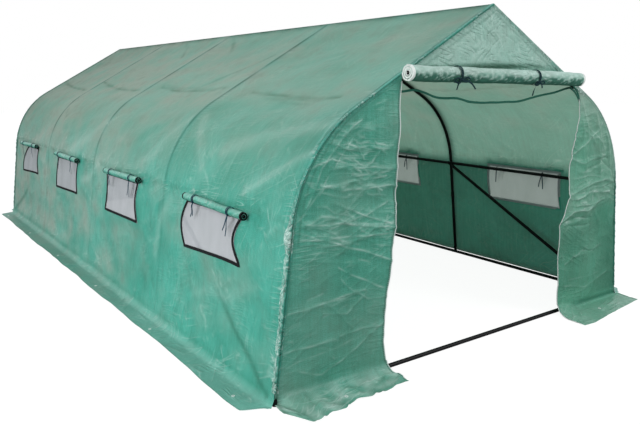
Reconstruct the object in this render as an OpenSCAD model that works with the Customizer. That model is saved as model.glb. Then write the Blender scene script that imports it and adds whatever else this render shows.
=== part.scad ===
// Walk-in tunnel greenhouse: a steel tube frame of leaning hoops under a green woven film cover.
// X runs across the tunnel, Y along it with the doorway at the -Y end, Z up from the ground.
// The frame stands on the ground; the film ends in a skirt that lies flat on the ground around it.

/* [Tunnel] */
// Width over the hoops at the ground
tunnel_w = 3000; // [2400:10:3600]
// Length over the front and rear hoops
tunnel_l = 6000; // [4800:10:7200]
// Height of the hoop centre line at the ridge
ridge_z = 1983; // [1850:1:2200]
// Height where the straight post turns into the eave bend
post_top_z = 870; // [800:1:940]
// How far the post leans in between the ground and the eave bend
post_lean = 112; // [60:1:160]
// Radius of the eave bend on the hoop centre line
eave_r = 770; // [600:1:850]
// Number of hoops
hoops = 5; // [3:1:7]

/* [Steel tubes] */
// Outside diameter of every frame tube
tube_d = 25; // [19:1:32]
// Wall of the frame tubes
tube_wall = 1.2; // [0.8:0.1:2]
// Height of the plug joint between the posts
joint_z = 520; // [400:1:620]
// Length of the belled end of an upper post, which takes the post
collar_l = 50; // [35:1:70]
// Length of a ridge fitting's sockets
socket_l = 70; // [55:1:100]
// Radial play of a tube in its socket
socket_play = 0.15; // [0.1:0.05:0.3]
// Height of the side purlins
purlin_z = 845; // [700:1:860]
// Length of the flattened ends of the braces
pinch_flat = 40; // [30:1:60]
// Length over which a brace end is pressed flat
pinch_taper = 35; // [25:1:60]
// Thickness of a flattened brace end
pinch_t = 3; // [2:0.5:5]
// Height of the rubber foot under each post
foot_h = 10; // [6:1:25]
// Clear distance between pieces that rest on each other
seat_gap = 0.3; // [0.1:0.05:0.5]

/* [Film cover] */
// Thickness of the film as modelled
film_t = 2; // [1.5:0.1:4]
// Radius of the bend from the wall to the skirt
skirt_r = 60; // [40:1:90]
// Width of the skirt that lies on the ground
skirt_w = 105; // [60:1:150]
// Hole of a peg eyelet
eyelet_d = 10; // [8:0.5:14]
// Width of an eyelet's rim
eyelet_rim = 5; // [3:0.5:8]
// Thickness of an eyelet's rim
eyelet_t = 1; // [0.6:0.1:2]
// Distance of the outer side eyelets from the tunnel's ends
eyelet_end = 220; // [150:5:400]
// Side eyelets along each wall
eyelet_count = 6; // [4:2:8]
// Distance of the end eyelets from the tunnel's middle
eyelet_x = 1130; // [950:5:1250]

/* [Doorway] */
// Width of the doorway
door_w = 1500; // [1200:10:1560]
// Height of the doorway
door_h = 1560; // [1400:5:1585]
// Diameter of the rolled-up door
roll_d = 88; // [70:1:110]
// Height of the roll's middle over the doorway's top edge
roll_up = 42; // [35:1:60]
// Turns of film in the door roll
roll_turns = 5; // [3:1:7]
// Open core of a roll
roll_core = 10; // [6:1:16]
// Slit between the turns of a roll
roll_slit = 1; // [0.6:0.1:2]
// Distance of the door ties from the middle
door_tie_x = 360; // [200:5:600]
// Width of a tie band
tie_w = 12; // [6:1:20]
// Thickness of a tie band
tie_t = 1.5; // [1:0.1:2.5]
// Width of the zip along each side of the doorway
zip_w = 22; // [12:1:40]
// Thickness of the zip
zip_t = 1.5; // [1:0.1:3]

/* [Windows] */
// Width of a window opening
window_w = 660; // [500:5:800]
// Distance of the window's lower edge up the wall from the ground
window_sill = 585; // [450:1:640]
// Height of a window opening up the wall
window_h = 285; // [200:1:290]
// Diameter of a rolled-up window flap
flap_d = 50; // [40:1:60]
// Length of a rolled-up window flap
flap_l = 720; // [560:5:900]
// Turns of film in a window roll
flap_turns = 3; // [2:1:4]
// Height of the flap roll's middle over the window's upper edge
flap_up = 28; // [22:1:40]
// Distance of the flap ties from the window's middle
flap_tie = 215; // [120:5:260]
// Thickness of the window netting
net_t = 1; // [0.8:0.1:2]
// Overlap of the netting behind the film
net_lap = 14; // [8:1:25]
// Width of the binding round a window
bind_w = 14; // [8:1:24]
// Thickness of the binding
bind_t = 1; // [0.6:0.1:2]

/* [Hidden] */
$fn = 64;
// Degrees of one step along a roll's spiral
spiral_step = 15;
// Length by which cutting shapes run past what they cut
past = 5;
collar_r = tube_d / 2 + socket_play + tube_wall;
bore_r = tube_d / 2 + socket_play;
film_in = collar_r + seat_gap;
film_out = film_in + film_t;
foot_x = tunnel_w / 2 - collar_r;
end_hoop_y = tunnel_l / 2 - collar_r;
bay = 2 * end_hoop_y / (hoops - 1);
end_in = tunnel_l / 2 + seat_gap;
end_out = end_in + film_t;

// Hoop centre line, right half, as points of the X-Z plane
lean = atan2(post_lean, post_top_z);
wall_up = [-sin(lean), cos(lean)];
wall_out = [cos(lean), sin(lean)];
post_len = post_top_z / cos(lean);
post_top = [foot_x - post_lean, post_top_z];
bend_c = post_top - eave_r * wall_out;
to_apex = [0, ridge_z] - bend_c;
bend_end = atan2(to_apex.y, to_apex.x) - acos(eave_r / norm(to_apex));
bend_span = bend_end - lean;
pitch = 90 - bend_end;
rafter_len = norm([0, ridge_z] - bend_c - eave_r * [cos(bend_end), sin(bend_end)]);

// Points of the profile at a distance outside the hoop centre line
function bend_start_at(off) = post_top + off * wall_out;
function bend_end_at(off) = bend_c + (eave_r + off) * [cos(bend_end), sin(bend_end)];
function bend_corner_at(off) = bend_start_at(off) + (eave_r + off) * tan(bend_span / 2) * wall_up;
function apex_at(off) = [0, ridge_z + off / cos(pitch)];
function wall_x(off, z) = foot_x - z * tan(lean) + off / cos(lean);
function flip(p) = [-p.x, p.y];

// Skirt bend: its middle over the ground and the wall's lower end
skirt_z = skirt_r + film_t;
wall_foot = (skirt_z - (film_out + skirt_r) * sin(lean)) / cos(lean);
skirt_x = foot_x + (film_out + skirt_r) * cos(lean) - wall_foot * sin(lean);
eyelet_side_x = skirt_x + skirt_w / 2;
eyelet_end_y = end_out + skirt_r + skirt_w / 2;
eyelet_pitch = (tunnel_l - 2 * eyelet_end) / (eyelet_count - 1);
panel_foot_x = wall_x(collar_r, skirt_z);

// Tubes that lie inside the posts
inner_off = tube_d + seat_gap;
rail_z = tube_d / 2;
rail_end_y = end_hoop_y - tube_d / 2 - seat_gap;
brace_off = 1.5 * tube_d + 2 * seat_gap + pinch_t / 2;
joint_s = joint_z / cos(lean);
brace_low = [end_hoop_y - 1.6 * tube_d, 1.1 * tube_d];
brace_high = [end_hoop_y - bay, purlin_z / cos(lean) + pinch_flat / 4];
socket_stop = tube_d;

// Rolls
door_roll_y = -(end_out + 2 * seat_gap + tie_t + roll_d / 2);
door_roll_z = door_h + roll_up;
flap_off = film_out + 2 * seat_gap + tie_t + flap_d / 2;
flap_s = window_sill + window_h + flap_up;

// The right wall's own frame: X out of the wall from the hoop centre line, Z up the wall
module on_wall() {
    translate([foot_x, 0, 0])
        rotate([0, -lean, 0])
            children();
}

module left_side() {
    mirror([1, 0, 0])
        children();
}

module each_hoop() {
    for (i = [0 : hoops - 1])
        translate([0, i * bay - end_hoop_y, 0])
            children();
}

module each_bay() {
    for (i = [0 : hoops - 2])
        translate([0, (i + 0.5) * bay - end_hoop_y, 0])
            children();
}

module both_ends() {
    children();
    mirror([0, 1, 0])
        children();
}

module ring(r_out, r_in, h) {
    difference() {
        cylinder(r = r_out, h = h);
        translate([0, 0, -past])
            cylinder(r = r_in, h = h + 2 * past);
    }
}

module tube(h) {
    ring(tube_d / 2, tube_d / 2 - tube_wall, h);
}

// Sector of a round sheet whose axis lies along Y, middle of its length at the origin
module bent_sheet(r_in, t, from, angle, len) {
    translate([0, len / 2, 0])
        rotate([90, 0, 0])
            rotate([0, 0, from])
                rotate_extrude(angle = angle)
                    translate([r_in, 0])
                        square([t, len]);
}

// Straight tube from the foot into the belled end of the upper post
module post() {
    on_wall()
        translate([0, 0, foot_h])
            tube(joint_s + collar_l - past - foot_h);
}

// Upper post, belled at its lower end, in one revolved section
module upper_post() {
    len = post_len - joint_s - seat_gap;
    r_out = tube_d / 2;
    r_in = r_out - tube_wall;
    bell = collar_l + 2 * tube_wall;
    on_wall()
        translate([0, 0, joint_s])
            rotate_extrude()
                polygon([[bore_r, 0], [collar_r, 0], [collar_r, collar_l], [r_out, bell],
                    [r_out, len], [r_in, len], [r_in, bell], [bore_r, collar_l]]);
}

module eave_bend() {
    translate([bend_c.x, 0, bend_c.y])
        rotate([90, 0, 0])
            rotate([0, 0, lean])
                rotate_extrude(angle = bend_span)
                    translate([eave_r, 0])
                        difference() {
                            circle(d = tube_d);
                            circle(d = tube_d - 2 * tube_wall);
                        }
}

module rafter() {
    translate([bend_end_at(0).x, 0, bend_end_at(0).y])
        rotate([0, -90 + pitch, 0])
            translate([0, 0, seat_gap])
                tube(rafter_len - socket_stop - 2 * seat_gap);
}

// Rubber plug with a flat sole on the ground
module foot() {
    intersection() {
        on_wall()
            translate([0, 0, -foot_h])
                cylinder(d = tube_d, h = 2 * foot_h - seat_gap);
        translate([foot_x - tube_d, -tube_d, 0])
            cube([2 * tube_d, 2 * tube_d, 2 * foot_h]);
    }
    on_wall()
        translate([0, 0, foot_h - seat_gap - past])
            cylinder(r = tube_d / 2 - tube_wall - socket_play, h = past + foot_h);
}

module socket_arm() {
    cylinder(r = collar_r, h = socket_l);
}

module socket_bore() {
    translate([0, 0, socket_stop])
        cylinder(r = bore_r, h = socket_l);
}

// Ridge fitting with a socket for each rafter and for the ridge purlin on either side
module ridge_fitting(front, rear) {
    translate([0, 0, ridge_z])
        difference() {
            union() {
                sphere(r = collar_r);
                rotate([0, 90 + pitch, 0])
                    socket_arm();
                rotate([0, -90 - pitch, 0])
                    socket_arm();
                if (front)
                    rotate([90, 0, 0])
                        socket_arm();
                if (rear)
                    rotate([-90, 0, 0])
                        socket_arm();
            }
            rotate([0, 90 + pitch, 0])
                socket_bore();
            rotate([0, -90 - pitch, 0])
                socket_bore();
            if (front)
                rotate([90, 0, 0])
                    socket_bore();
            if (rear)
                rotate([-90, 0, 0])
                    socket_bore();
        }
}

// Tube along Y, centred
module bar_y(len) {
    translate([0, len / 2, 0])
        rotate([90, 0, 0])
            tube(len);
}

module side_purlin() {
    each_bay()
        on_wall()
            translate([-inner_off, 0, purlin_z / cos(lean)])
                bar_y(bay - seat_gap);
}

module side_rail() {
    rail_x = wall_x(-inner_off, rail_z);
    rail_bay = 2 * rail_end_y / (hoops - 1);
    for (i = [0 : hoops - 2])
        translate([rail_x, (i + 0.5) * rail_bay - rail_end_y, rail_z])
            bar_y(rail_bay - seat_gap);
}

module end_rail() {
    half = wall_x(-tube_d / 2 - seat_gap, 0) - tube_d * tan(lean);
    translate([-half, end_hoop_y, rail_z])
        rotate([0, 90, 0])
            tube(2 * half);
}

// Tube pressed flat at both ends, lying along Z with its flats facing X
module pinched_tube(len) {
    flat = pinch_t / 2;
    full = tube_d / 2;
    ramp = pinch_flat + pinch_taper;
    intersection() {
        cylinder(d = tube_d, h = len);
        translate([0, tube_d, 0])
            rotate([90, 0, 0])
                linear_extrude(2 * tube_d)
                    polygon([[-flat, 0], [flat, 0], [flat, pinch_flat], [full, ramp],
                        [full, len - ramp], [flat, len - pinch_flat], [flat, len], [-flat, len],
                        [-flat, len - pinch_flat], [-full, len - ramp], [-full, ramp],
                        [-flat, pinch_flat]]);
    }
}

module corner_brace() {
    run = brace_high - brace_low;
    on_wall()
        translate([-brace_off, brace_low.x, brace_low.y])
            rotate([atan2(-run.x, run.y), 0, 0])
                pinched_tube(norm(run));
}

// Window openings up the right wall, grown by a margin
module window_cut(depth, grow, off) {
    each_bay()
        translate([off, -window_w / 2 - grow, window_sill - grow])
            cube([depth, window_w + 2 * grow, window_h + 2 * grow]);
}

module wall_film() {
    on_wall()
        difference() {
            translate([film_in, -end_out, wall_foot])
                cube([film_t, 2 * end_out, post_len - wall_foot]);
            window_cut(film_t + 2 * past, 0, film_in - past);
        }
}

module eave_film() {
    translate([bend_c.x, 0, bend_c.y])
        bent_sheet(eave_r + film_in, film_t, lean, bend_span, 2 * end_out);
}

module roof_film() {
    translate([0, end_out, 0])
        rotate([90, 0, 0])
            linear_extrude(2 * end_out)
                polygon([bend_end_at(film_in), bend_end_at(film_out), apex_at(film_out),
                    apex_at(film_in)]);
}

module bend_segment(off) {
    intersection() {
        translate(bend_c)
            circle(r = eave_r + off);
        polygon([bend_start_at(off), bend_corner_at(off), bend_end_at(off)]);
    }
}

// Outline of an end of the tunnel inside the side and roof film
module end_outline() {
    off = collar_r;
    right = [[panel_foot_x, skirt_z], bend_start_at(off), bend_end_at(off)];
    left = [flip(bend_end_at(off)), flip(bend_start_at(off)), [-panel_foot_x, skirt_z]];
    union() {
        polygon(concat(right, [apex_at(off)], left));
        bend_segment(off);
        mirror([1, 0])
            bend_segment(off);
    }
}

module front_sheet() {
    translate([0, -end_in, 0])
        rotate([90, 0, 0])
            linear_extrude(film_t)
                children();
}

module front_side_panel() {
    front_sheet()
        intersection() {
            end_outline();
            translate([door_w / 2, 0])
                square([tunnel_w, ridge_z]);
        }
}

// Film that bends out of a wall with that lean and lies on the ground, running along Y
module skirt(tilt, len) {
    translate([0, 0, skirt_z])
        mirror([1, 0, 0])
            bent_sheet(skirt_r, film_t, -90, 90 - tilt, len);
    translate([0, -len / 2, 0])
        cube([skirt_w, len, film_t]);
}

module side_eyelets() {
    for (i = [0 : eyelet_count - 1])
        translate([eyelet_side_x, i * eyelet_pitch - tunnel_l / 2 + eyelet_end, 0])
            children();
}

module end_eyelets() {
    translate([eyelet_x, -eyelet_end_y, 0])
        children();
    translate([-eyelet_x, -eyelet_end_y, 0])
        children();
}

module eyelet_hole() {
    translate([0, 0, -past])
        cylinder(d = eyelet_d + eyelet_rim, h = film_t + 2 * past);
}

// Metal ring through the skirt with its rim on top
module eyelet() {
    difference() {
        union() {
            cylinder(d = eyelet_d + eyelet_rim - 2 * seat_gap, h = film_t + eyelet_t);
            translate([0, 0, film_t])
                cylinder(d = eyelet_d + 2 * eyelet_rim, h = eyelet_t);
        }
        translate([0, 0, -past])
            cylinder(d = eyelet_d, h = film_t + eyelet_t + 2 * past);
    }
}

module side_skirt() {
    difference() {
        translate([skirt_x, 0, 0])
            skirt(lean, 2 * end_out);
        side_eyelets()
            eyelet_hole();
    }
}

// Skirt of a stretch of the front end between two distances from the middle
module front_skirt(from, to) {
    difference() {
        translate([(from + to) / 2, -end_out - skirt_r, 0])
            rotate([0, 0, -90])
                skirt(0, to - from);
        end_eyelets()
            eyelet_hole();
    }
}

function spiral(r0, rise, turns, shift) = [
    for (a = [0 : spiral_step : 360 * turns])
        (r0 + shift + rise * a / 360) * [cos(a), sin(a)]
];

function backwards(list) = [for (i = [len(list) - 1 : -1 : 0]) list[i]];

// Section through a rolled-up sheet of film
module spiral_section(d, turns) {
    r0 = roll_core / 2;
    rise = (d / 2 - r0 + roll_slit) / (turns + 1);
    outer = spiral(r0, rise, turns, rise - roll_slit);
    inner = spiral(r0, rise, turns, 0);
    polygon(concat(outer, backwards(inner)));
}

module window_net() {
    on_wall()
        window_cut(net_t, net_lap, film_in - seat_gap - net_t);
}

// Tape round the sides and lower edge of each window
module window_binding() {
    on_wall()
        each_bay()
            difference() {
                translate([film_out, -window_w / 2 - bind_w, window_sill - bind_w])
                    cube([bind_t, window_w + 2 * bind_w, window_h + bind_w]);
                translate([film_out - past, -window_w / 2, window_sill])
                    cube([bind_t + 2 * past, window_w, window_h + past]);
            }
}

module window_roll() {
    on_wall()
        each_bay()
            translate([flap_off, flap_l / 2, flap_s])
                rotate([90, 0, 0])
                    linear_extrude(flap_l)
                        spiral_section(flap_d, flap_turns);
}

module tie_band(d) {
    ring(d / 2 + seat_gap + tie_t, d / 2 + seat_gap, tie_w);
}

module window_tie_pair() {
    on_wall()
        each_bay()
            both_ends()
                translate([flap_off, flap_tie + tie_w / 2, flap_s])
                    rotate([90, 0, 0])
                        tie_band(flap_d);
}

module right_posts() {
    color("#1d1e20")
        each_hoop()
            post();
}

module left_posts() {
    left_side()
        right_posts();
}

module right_upper_posts() {
    color("#1d1e20")
        each_hoop()
            upper_post();
}

module left_upper_posts() {
    left_side()
        right_upper_posts();
}

module right_eave_bends() {
    color("#1d1e20")
        each_hoop()
            eave_bend();
}

module left_eave_bends() {
    left_side()
        right_eave_bends();
}

module right_rafters() {
    color("#1d1e20")
        each_hoop()
            rafter();
}

module left_rafters() {
    left_side()
        right_rafters();
}

module post_feet() {
    color("#141414")
        each_hoop() {
            foot();
            left_side()
                foot();
        }
}

module ridge_fittings() {
    color("#18191a")
        for (i = [0 : hoops - 1])
            translate([0, i * bay - end_hoop_y, 0])
                ridge_fitting(i > 0, i < hoops - 1);
}

module ridge_purlin() {
    color("#1d1e20")
        each_bay()
            translate([0, 0, ridge_z])
                bar_y(bay - 2 * socket_stop - 2 * seat_gap);
}

module right_purlin() {
    color("#1d1e20")
        side_purlin();
}

module left_purlin() {
    left_side()
        right_purlin();
}

module right_base_rail() {
    color("#1d1e20")
        side_rail();
}

module left_base_rail() {
    left_side()
        right_base_rail();
}

module rear_base_rail() {
    color("#1d1e20")
        end_rail();
}

module front_base_rail() {
    mirror([0, 1, 0])
        rear_base_rail();
}

module right_braces() {
    color("#1d1e20")
        both_ends()
            corner_brace();
}

module left_braces() {
    left_side()
        right_braces();
}

module right_wall_film() {
    color("#3f9a73")
        wall_film();
}

module left_wall_film() {
    left_side()
        right_wall_film();
}

module right_eave_film() {
    color("#55936f")
        eave_film();
}

module left_eave_film() {
    left_side()
        right_eave_film();
}

module right_roof_film() {
    color("#6f9c83")
        roof_film();
}

module left_roof_film() {
    left_side()
        right_roof_film();
}

module front_right_panel() {
    color("#3d8563")
        front_side_panel();
}

module front_left_panel() {
    left_side()
        front_right_panel();
}

module front_gable_panel() {
    color("#4c8a69")
        front_sheet()
            intersection() {
                end_outline();
                translate([-door_w / 2, door_h])
                    square([door_w, ridge_z]);
            }
}

module rear_panel() {
    color("#3d8563")
        mirror([0, 1, 0])
            front_sheet()
                end_outline();
}

module right_skirt() {
    color("#4f9f7b")
        side_skirt();
}

module left_skirt() {
    left_side()
        right_skirt();
}

module front_right_skirt() {
    color("#4f9f7b")
        front_skirt(door_w / 2, panel_foot_x);
}

module front_left_skirt() {
    left_side()
        front_right_skirt();
}

module rear_skirt() {
    color("#4f9f7b")
        mirror([0, 1, 0])
            front_skirt(-panel_foot_x, panel_foot_x);
}

module peg_eyelets() {
    color("#b9bcbe") {
        side_eyelets()
            eyelet();
        left_side()
            side_eyelets()
                eyelet();
        both_ends()
            end_eyelets()
                eyelet();
    }
}

module door_roll() {
    color("#5b9a78")
        translate([-door_w / 2, door_roll_y, door_roll_z])
            rotate([0, 90, 0])
                linear_extrude(door_w)
                    spiral_section(roll_d, roll_turns);
}

module door_ties() {
    color("#23313a")
        for (x = [-door_tie_x, door_tie_x])
            translate([x - tie_w / 2, door_roll_y, door_roll_z])
                rotate([0, 90, 0])
                    tie_band(roll_d);
}

module door_zips() {
    color("#e8ece9")
        for (x = [-door_w / 2 - zip_w, door_w / 2])
            translate([x, -end_out - zip_t, skirt_z])
                cube([zip_w, zip_t, door_h - skirt_z]);
}

module right_window_nets() {
    color("#b9bcc9")
        window_net();
}

module left_window_nets() {
    left_side()
        right_window_nets();
}

module right_window_bindings() {
    color("#15171a")
        window_binding();
}

module left_window_bindings() {
    left_side()
        right_window_bindings();
}

module right_window_rolls() {
    color("#6fae8b")
        window_roll();
}

module left_window_rolls() {
    left_side()
        right_window_rolls();
}

module window_ties() {
    color("#22344a") {
        window_tie_pair();
        left_side()
            window_tie_pair();
    }
}

left_posts();
right_posts();
left_upper_posts();
right_upper_posts();
left_eave_bends();
right_eave_bends();
left_rafters();
right_rafters();
post_feet();
ridge_fittings();
ridge_purlin();
left_purlin();
right_purlin();
left_base_rail();
right_base_rail();
front_base_rail();
rear_base_rail();
left_braces();
right_braces();
left_wall_film();
right_wall_film();
left_eave_film();
right_eave_film();
left_roof_film();
right_roof_film();
front_left_panel();
front_right_panel();
front_gable_panel();
rear_panel();
left_skirt();
right_skirt();
front_left_skirt();
front_right_skirt();
rear_skirt();
peg_eyelets();
door_roll();
door_ties();
door_zips();
left_window_nets();
right_window_nets();
left_window_bindings();
right_window_bindings();
left_window_rolls();
right_window_rolls();
window_ties();
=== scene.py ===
import math

import bpy
import numpy as np
from mathutils import Matrix, Vector


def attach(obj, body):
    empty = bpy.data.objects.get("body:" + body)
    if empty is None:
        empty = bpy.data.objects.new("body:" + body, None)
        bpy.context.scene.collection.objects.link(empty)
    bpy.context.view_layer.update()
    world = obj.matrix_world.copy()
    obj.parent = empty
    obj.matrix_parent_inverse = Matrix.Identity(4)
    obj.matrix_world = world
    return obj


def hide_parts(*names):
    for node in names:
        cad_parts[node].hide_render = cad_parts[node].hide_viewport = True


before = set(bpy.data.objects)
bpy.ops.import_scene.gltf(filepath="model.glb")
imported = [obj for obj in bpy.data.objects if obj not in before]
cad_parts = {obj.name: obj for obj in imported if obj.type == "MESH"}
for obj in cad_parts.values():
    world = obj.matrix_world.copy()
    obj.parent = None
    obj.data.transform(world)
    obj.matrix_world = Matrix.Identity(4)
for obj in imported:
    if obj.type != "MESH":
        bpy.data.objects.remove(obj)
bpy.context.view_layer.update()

# Sizes of the tunnel in metres, as in the solids
HALF_L = 3.0
COLLAR = 0.01385
FOOT_X = 1.5 - COLLAR
HOOP_Y = HALF_L - COLLAR
BAY = HOOP_Y / 2
POST_TOP, POST_IN, EAVE_R, RIDGE = 0.87, 0.112, 0.77, 1.983
FILM_IN, FILM_T = 0.01415, 0.002
FILM = FILM_IN + FILM_T / 2
SKIRT_R, SKIRT_W = 0.06, 0.105
TUBE = 0.025
SILL, OPENING_H, OPENING_W = 0.585, 0.285, 0.66
NET_W, NET_LAP = 0.69, 0.012
FLAP_R, FLAP_L = 0.025, 0.72
FLAP_S = SILL + OPENING_H + 0.028
FLAP_OFF = FILM_IN + FILM_T + 0.0021 + FLAP_R
FLAP_TIES = (-0.215, 0.215)
FLAP_TIP = 0.004
BAY_MIDDLES = [(k + 0.5) * BAY - HOOP_Y for k in range(4)]

LEAN = math.atan2(POST_IN, POST_TOP)
OUT = np.array([math.cos(LEAN), math.sin(LEAN)])
UP = np.array([-math.sin(LEAN), math.cos(LEAN)])
POST_LEN = POST_TOP / math.cos(LEAN)
BEND_C = np.array([FOOT_X - POST_IN, POST_TOP]) - EAVE_R * OUT
APEX = np.array([0.0, RIDGE])
TO_APEX = APEX - BEND_C
BEND_END = math.atan2(TO_APEX[1], TO_APEX[0]) - math.acos(EAVE_R / np.linalg.norm(TO_APEX))
PITCH = math.pi / 2 - BEND_END
SKIRT_Z = SKIRT_R + FILM_T
WALL_FOOT = (SKIRT_Z - (FILM_IN + FILM_T + SKIRT_R) * math.sin(LEAN)) / math.cos(LEAN)

# Lengths along the cover from the ridge down one side
BEND_TOP = BEND_C + (EAVE_R + FILM) * np.array([math.cos(BEND_END), math.sin(BEND_END)])
PEAK = np.array([0.0, RIDGE + FILM / math.cos(PITCH)])
ROOF_LEN = float(np.linalg.norm(BEND_TOP - PEAK))
EAVE_LEN = (EAVE_R + FILM) * (BEND_END - LEAN)
WALL_LEN = POST_LEN - WALL_FOOT
TURN_R = SKIRT_R + FILM_T / 2
TURN_LEN = TURN_R * (math.pi / 2 - LEAN)
S_EAVE, S_WALL = ROOF_LEN, ROOF_LEN + EAVE_LEN
S_TURN = S_WALL + WALL_LEN
S_FLAT = S_TURN + TURN_LEN
S_EDGE = S_FLAT + SKIRT_W
S_WINDOW = S_WALL + POST_LEN - SILL - OPENING_H
# How far the end panels stand off the ends of the tunnel, and the least height of film on the ground
END_OFF, ON_GROUND = 0.0013, 0.0012


def ripple(u, v, seed):
    """Smooth chance heights between about -1 and 1 over a plane."""
    turns = np.random.default_rng(seed).random(4096) * 2 * math.pi
    iu, iv = np.floor(u).astype(int), np.floor(v).astype(int)
    fu, fv = u - iu, v - iv

    def corner(a, b):
        t = turns[((iu + a) * 73 + (iv + b) * 911) % 4096]
        return np.cos(t) * (fu - a) + np.sin(t) * (fv - b)

    wu, wv = fu**3 * (fu * (fu * 6 - 15) + 10), fv**3 * (fv * (fv * 6 - 15) + 10)
    low = corner(0, 0) * (1 - wu) + corner(1, 0) * wu
    high = corner(0, 1) * (1 - wu) + corner(1, 1) * wu
    return 1.5 * (low * (1 - wv) + high * wv)


def crease(u, v, seed):
    """Sharp crests with smooth ground between them, from 0 to 1."""
    return (1 - np.clip(np.abs(ripple(u, v, seed)) * 1.6, 0, 1)) ** 3


def ease(low, high, x):
    """0 up to the low value and 1 from the high one on, with a smooth rise between."""
    t = np.clip((x - low) / (high - low), 0, 1)
    return t * t * (3 - 2 * t)


def hump(off, width, power=2):
    """1 on a line and near 0 beyond a width from it: a higher power gives a flatter top."""
    return np.exp(-((off / width) ** power))


def down_the_side(s):
    """Place and outward normal of the cover at a distance from the ridge, on the right side: x, z, nx, nz."""
    s = np.asarray(s, float)
    a = np.clip(BEND_END - (s - S_EAVE) / (EAVE_R + FILM), LEAN, BEND_END)
    roof = PEAK[:, None] + (BEND_TOP - PEAK)[:, None] * (np.clip(s, 0, S_EAVE) / ROOF_LEN)
    eave = BEND_C[:, None] + (EAVE_R + FILM) * np.stack([np.cos(a), np.sin(a)])
    up = POST_LEN - np.clip(s - S_WALL, 0, WALL_LEN)
    wall = np.array([FOOT_X, 0.0])[:, None] + FILM * OUT[:, None] + UP[:, None] * up
    centre = np.array([FOOT_X, 0.0]) + (FILM + TURN_R) * OUT + WALL_FOOT * UP
    b = math.pi + LEAN + np.clip((s - S_TURN) / TURN_R, 0, math.pi / 2 - LEAN)
    turn = centre[:, None] + TURN_R * np.stack([np.cos(b), np.sin(b)])
    flat = np.stack([centre[0] + np.clip(s - S_FLAT, 0, None), np.full_like(s, FILM_T / 2)])
    which = [s < S_EAVE, s < S_WALL, s < S_TURN, s < S_FLAT]
    one = np.ones_like(s)
    x = np.select(which, [roof[0], eave[0], wall[0], turn[0]], flat[0])
    z = np.select(which, [roof[1], eave[1], wall[1], turn[1]], flat[1])
    nx = np.select(which, [one * math.sin(PITCH), np.cos(a), one * OUT[0], -np.cos(b)], 0 * one)
    nz = np.select(which, [one * math.cos(PITCH), np.sin(a), one * OUT[1], -np.sin(b)], one)
    return x, z, nx, nz


def outer_x(z):
    """Half the width of the tunnel's outline at a height."""
    z = np.asarray(z, float)
    wall = FOOT_X - z * math.tan(LEAN) + FILM / math.cos(LEAN)
    eave = BEND_C[0] + np.sqrt(np.clip((EAVE_R + FILM) ** 2 - (z - BEND_C[1]) ** 2, 0, None))
    roof = (PEAK[1] - z) / math.tan(PITCH)
    start = POST_TOP + FILM * math.sin(LEAN)
    return np.select([z < start, z < BEND_TOP[1]], [wall, eave], roof)


def roof_z(x):
    """Height of the film over the rafters at a distance from the middle."""
    return PEAK[1] - np.abs(x) * math.tan(PITCH)


# Finishes


# What the points of a sheet carry for its finish: painted shade, creasing, stress whitening with painted
# sheen, thinness, and dust with painted sheen
MARKS = ("pressed", "creased", "whitened", "thin", "dusty")
# Sockets of a Mix node that is set to colours
MIX_A, MIX_B, MIX_OUT = 6, 7, 2


class Wire:
    """A socket in a finish, so that sums on values read as sums."""

    def __init__(self, tree, socket=None):
        self.tree, self.socket = tree, socket

    def node(self, kind, settings=None, sockets=None, out=0):
        made = self.tree.nodes.new(kind)
        for name, value in (settings or {}).items():
            setattr(made, name, value)
        for name, value in (sockets or {}).items():
            if isinstance(value, Wire):
                self.tree.links.new(value.socket, made.inputs[name])
            else:
                made.inputs[name].default_value = value
        return None if out is None else Wire(self.tree, made.outputs[out])

    def sum(self, operation, a, b):
        return self.node("ShaderNodeMath", {"operation": operation}, {0: a, 1: b})

    def __add__(self, other):
        return self.sum("ADD", self, other)

    __radd__ = __add__

    def __sub__(self, other):
        return self.sum("SUBTRACT", self, other)

    def __rsub__(self, other):
        return self.sum("SUBTRACT", other, self)

    def __mul__(self, other):
        return self.sum("MULTIPLY", self, other)

    __rmul__ = __mul__

    def __abs__(self):
        return self.node("ShaderNodeMath", {"operation": "ABSOLUTE"}, {0: self})

    def __gt__(self, other):
        return self.sum("GREATER_THAN", self, other)

    def between(self, low, high):
        """0 at the low value and 1 at the high one, held there beyond them."""
        return self.node("ShaderNodeMapRange", None, {0: self, 1: low, 2: high, 3: 0.0, 4: 1.0})

    def blend(self, a, b):
        """Colour a where this value is 0 and b where it is 1."""
        settings = {"data_type": "RGBA", "clamp_factor": True}
        return self.node("ShaderNodeMix", settings, {0: self, MIX_A: a, MIX_B: b}, MIX_OUT)

    def moved(self, by, amount):
        """This place shifted by a colour's worth of chance."""
        centred = self.node("ShaderNodeVectorMath", {"operation": "SUBTRACT"}, {0: by, 1: (0.5, 0.5, 0.5)})
        scaled = self.node("ShaderNodeVectorMath", {"operation": "SCALE"}, {0: centred, 3: amount})
        return self.node("ShaderNodeVectorMath", {"operation": "ADD"}, {0: self, 1: scaled})

    def stretched(self, x, y, z):
        return self.node("ShaderNodeVectorMath", {"operation": "MULTIPLY"}, {0: self, 1: (x, y, z)})

    def turned(self, angle):
        settings = {"rotation_type": "Z_AXIS"}
        return self.node("ShaderNodeVectorRotate", settings, {"Vector": self, "Angle": angle})

    def part(self, axis):
        """One of the lengths that make up this place."""
        return self.node("ShaderNodeSeparateXYZ", None, {0: self}, axis)

    def noise(self, scale, detail=2.0, rough=0.5, out=0):
        sockets = {"Vector": self, "Scale": scale, "Detail": detail, "Roughness": rough}
        return self.node("ShaderNodeTexNoise", None, sockets, out)


def rgb(r, g, b):
    return (r, g, b, 1.0)


def finish(name):
    """A new finish with an empty tree, and a wire to build it with."""
    mat = bpy.data.materials.new(name)
    mat.use_nodes = True
    mat.node_tree.nodes.clear()
    return mat, Wire(mat.node_tree)


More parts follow.
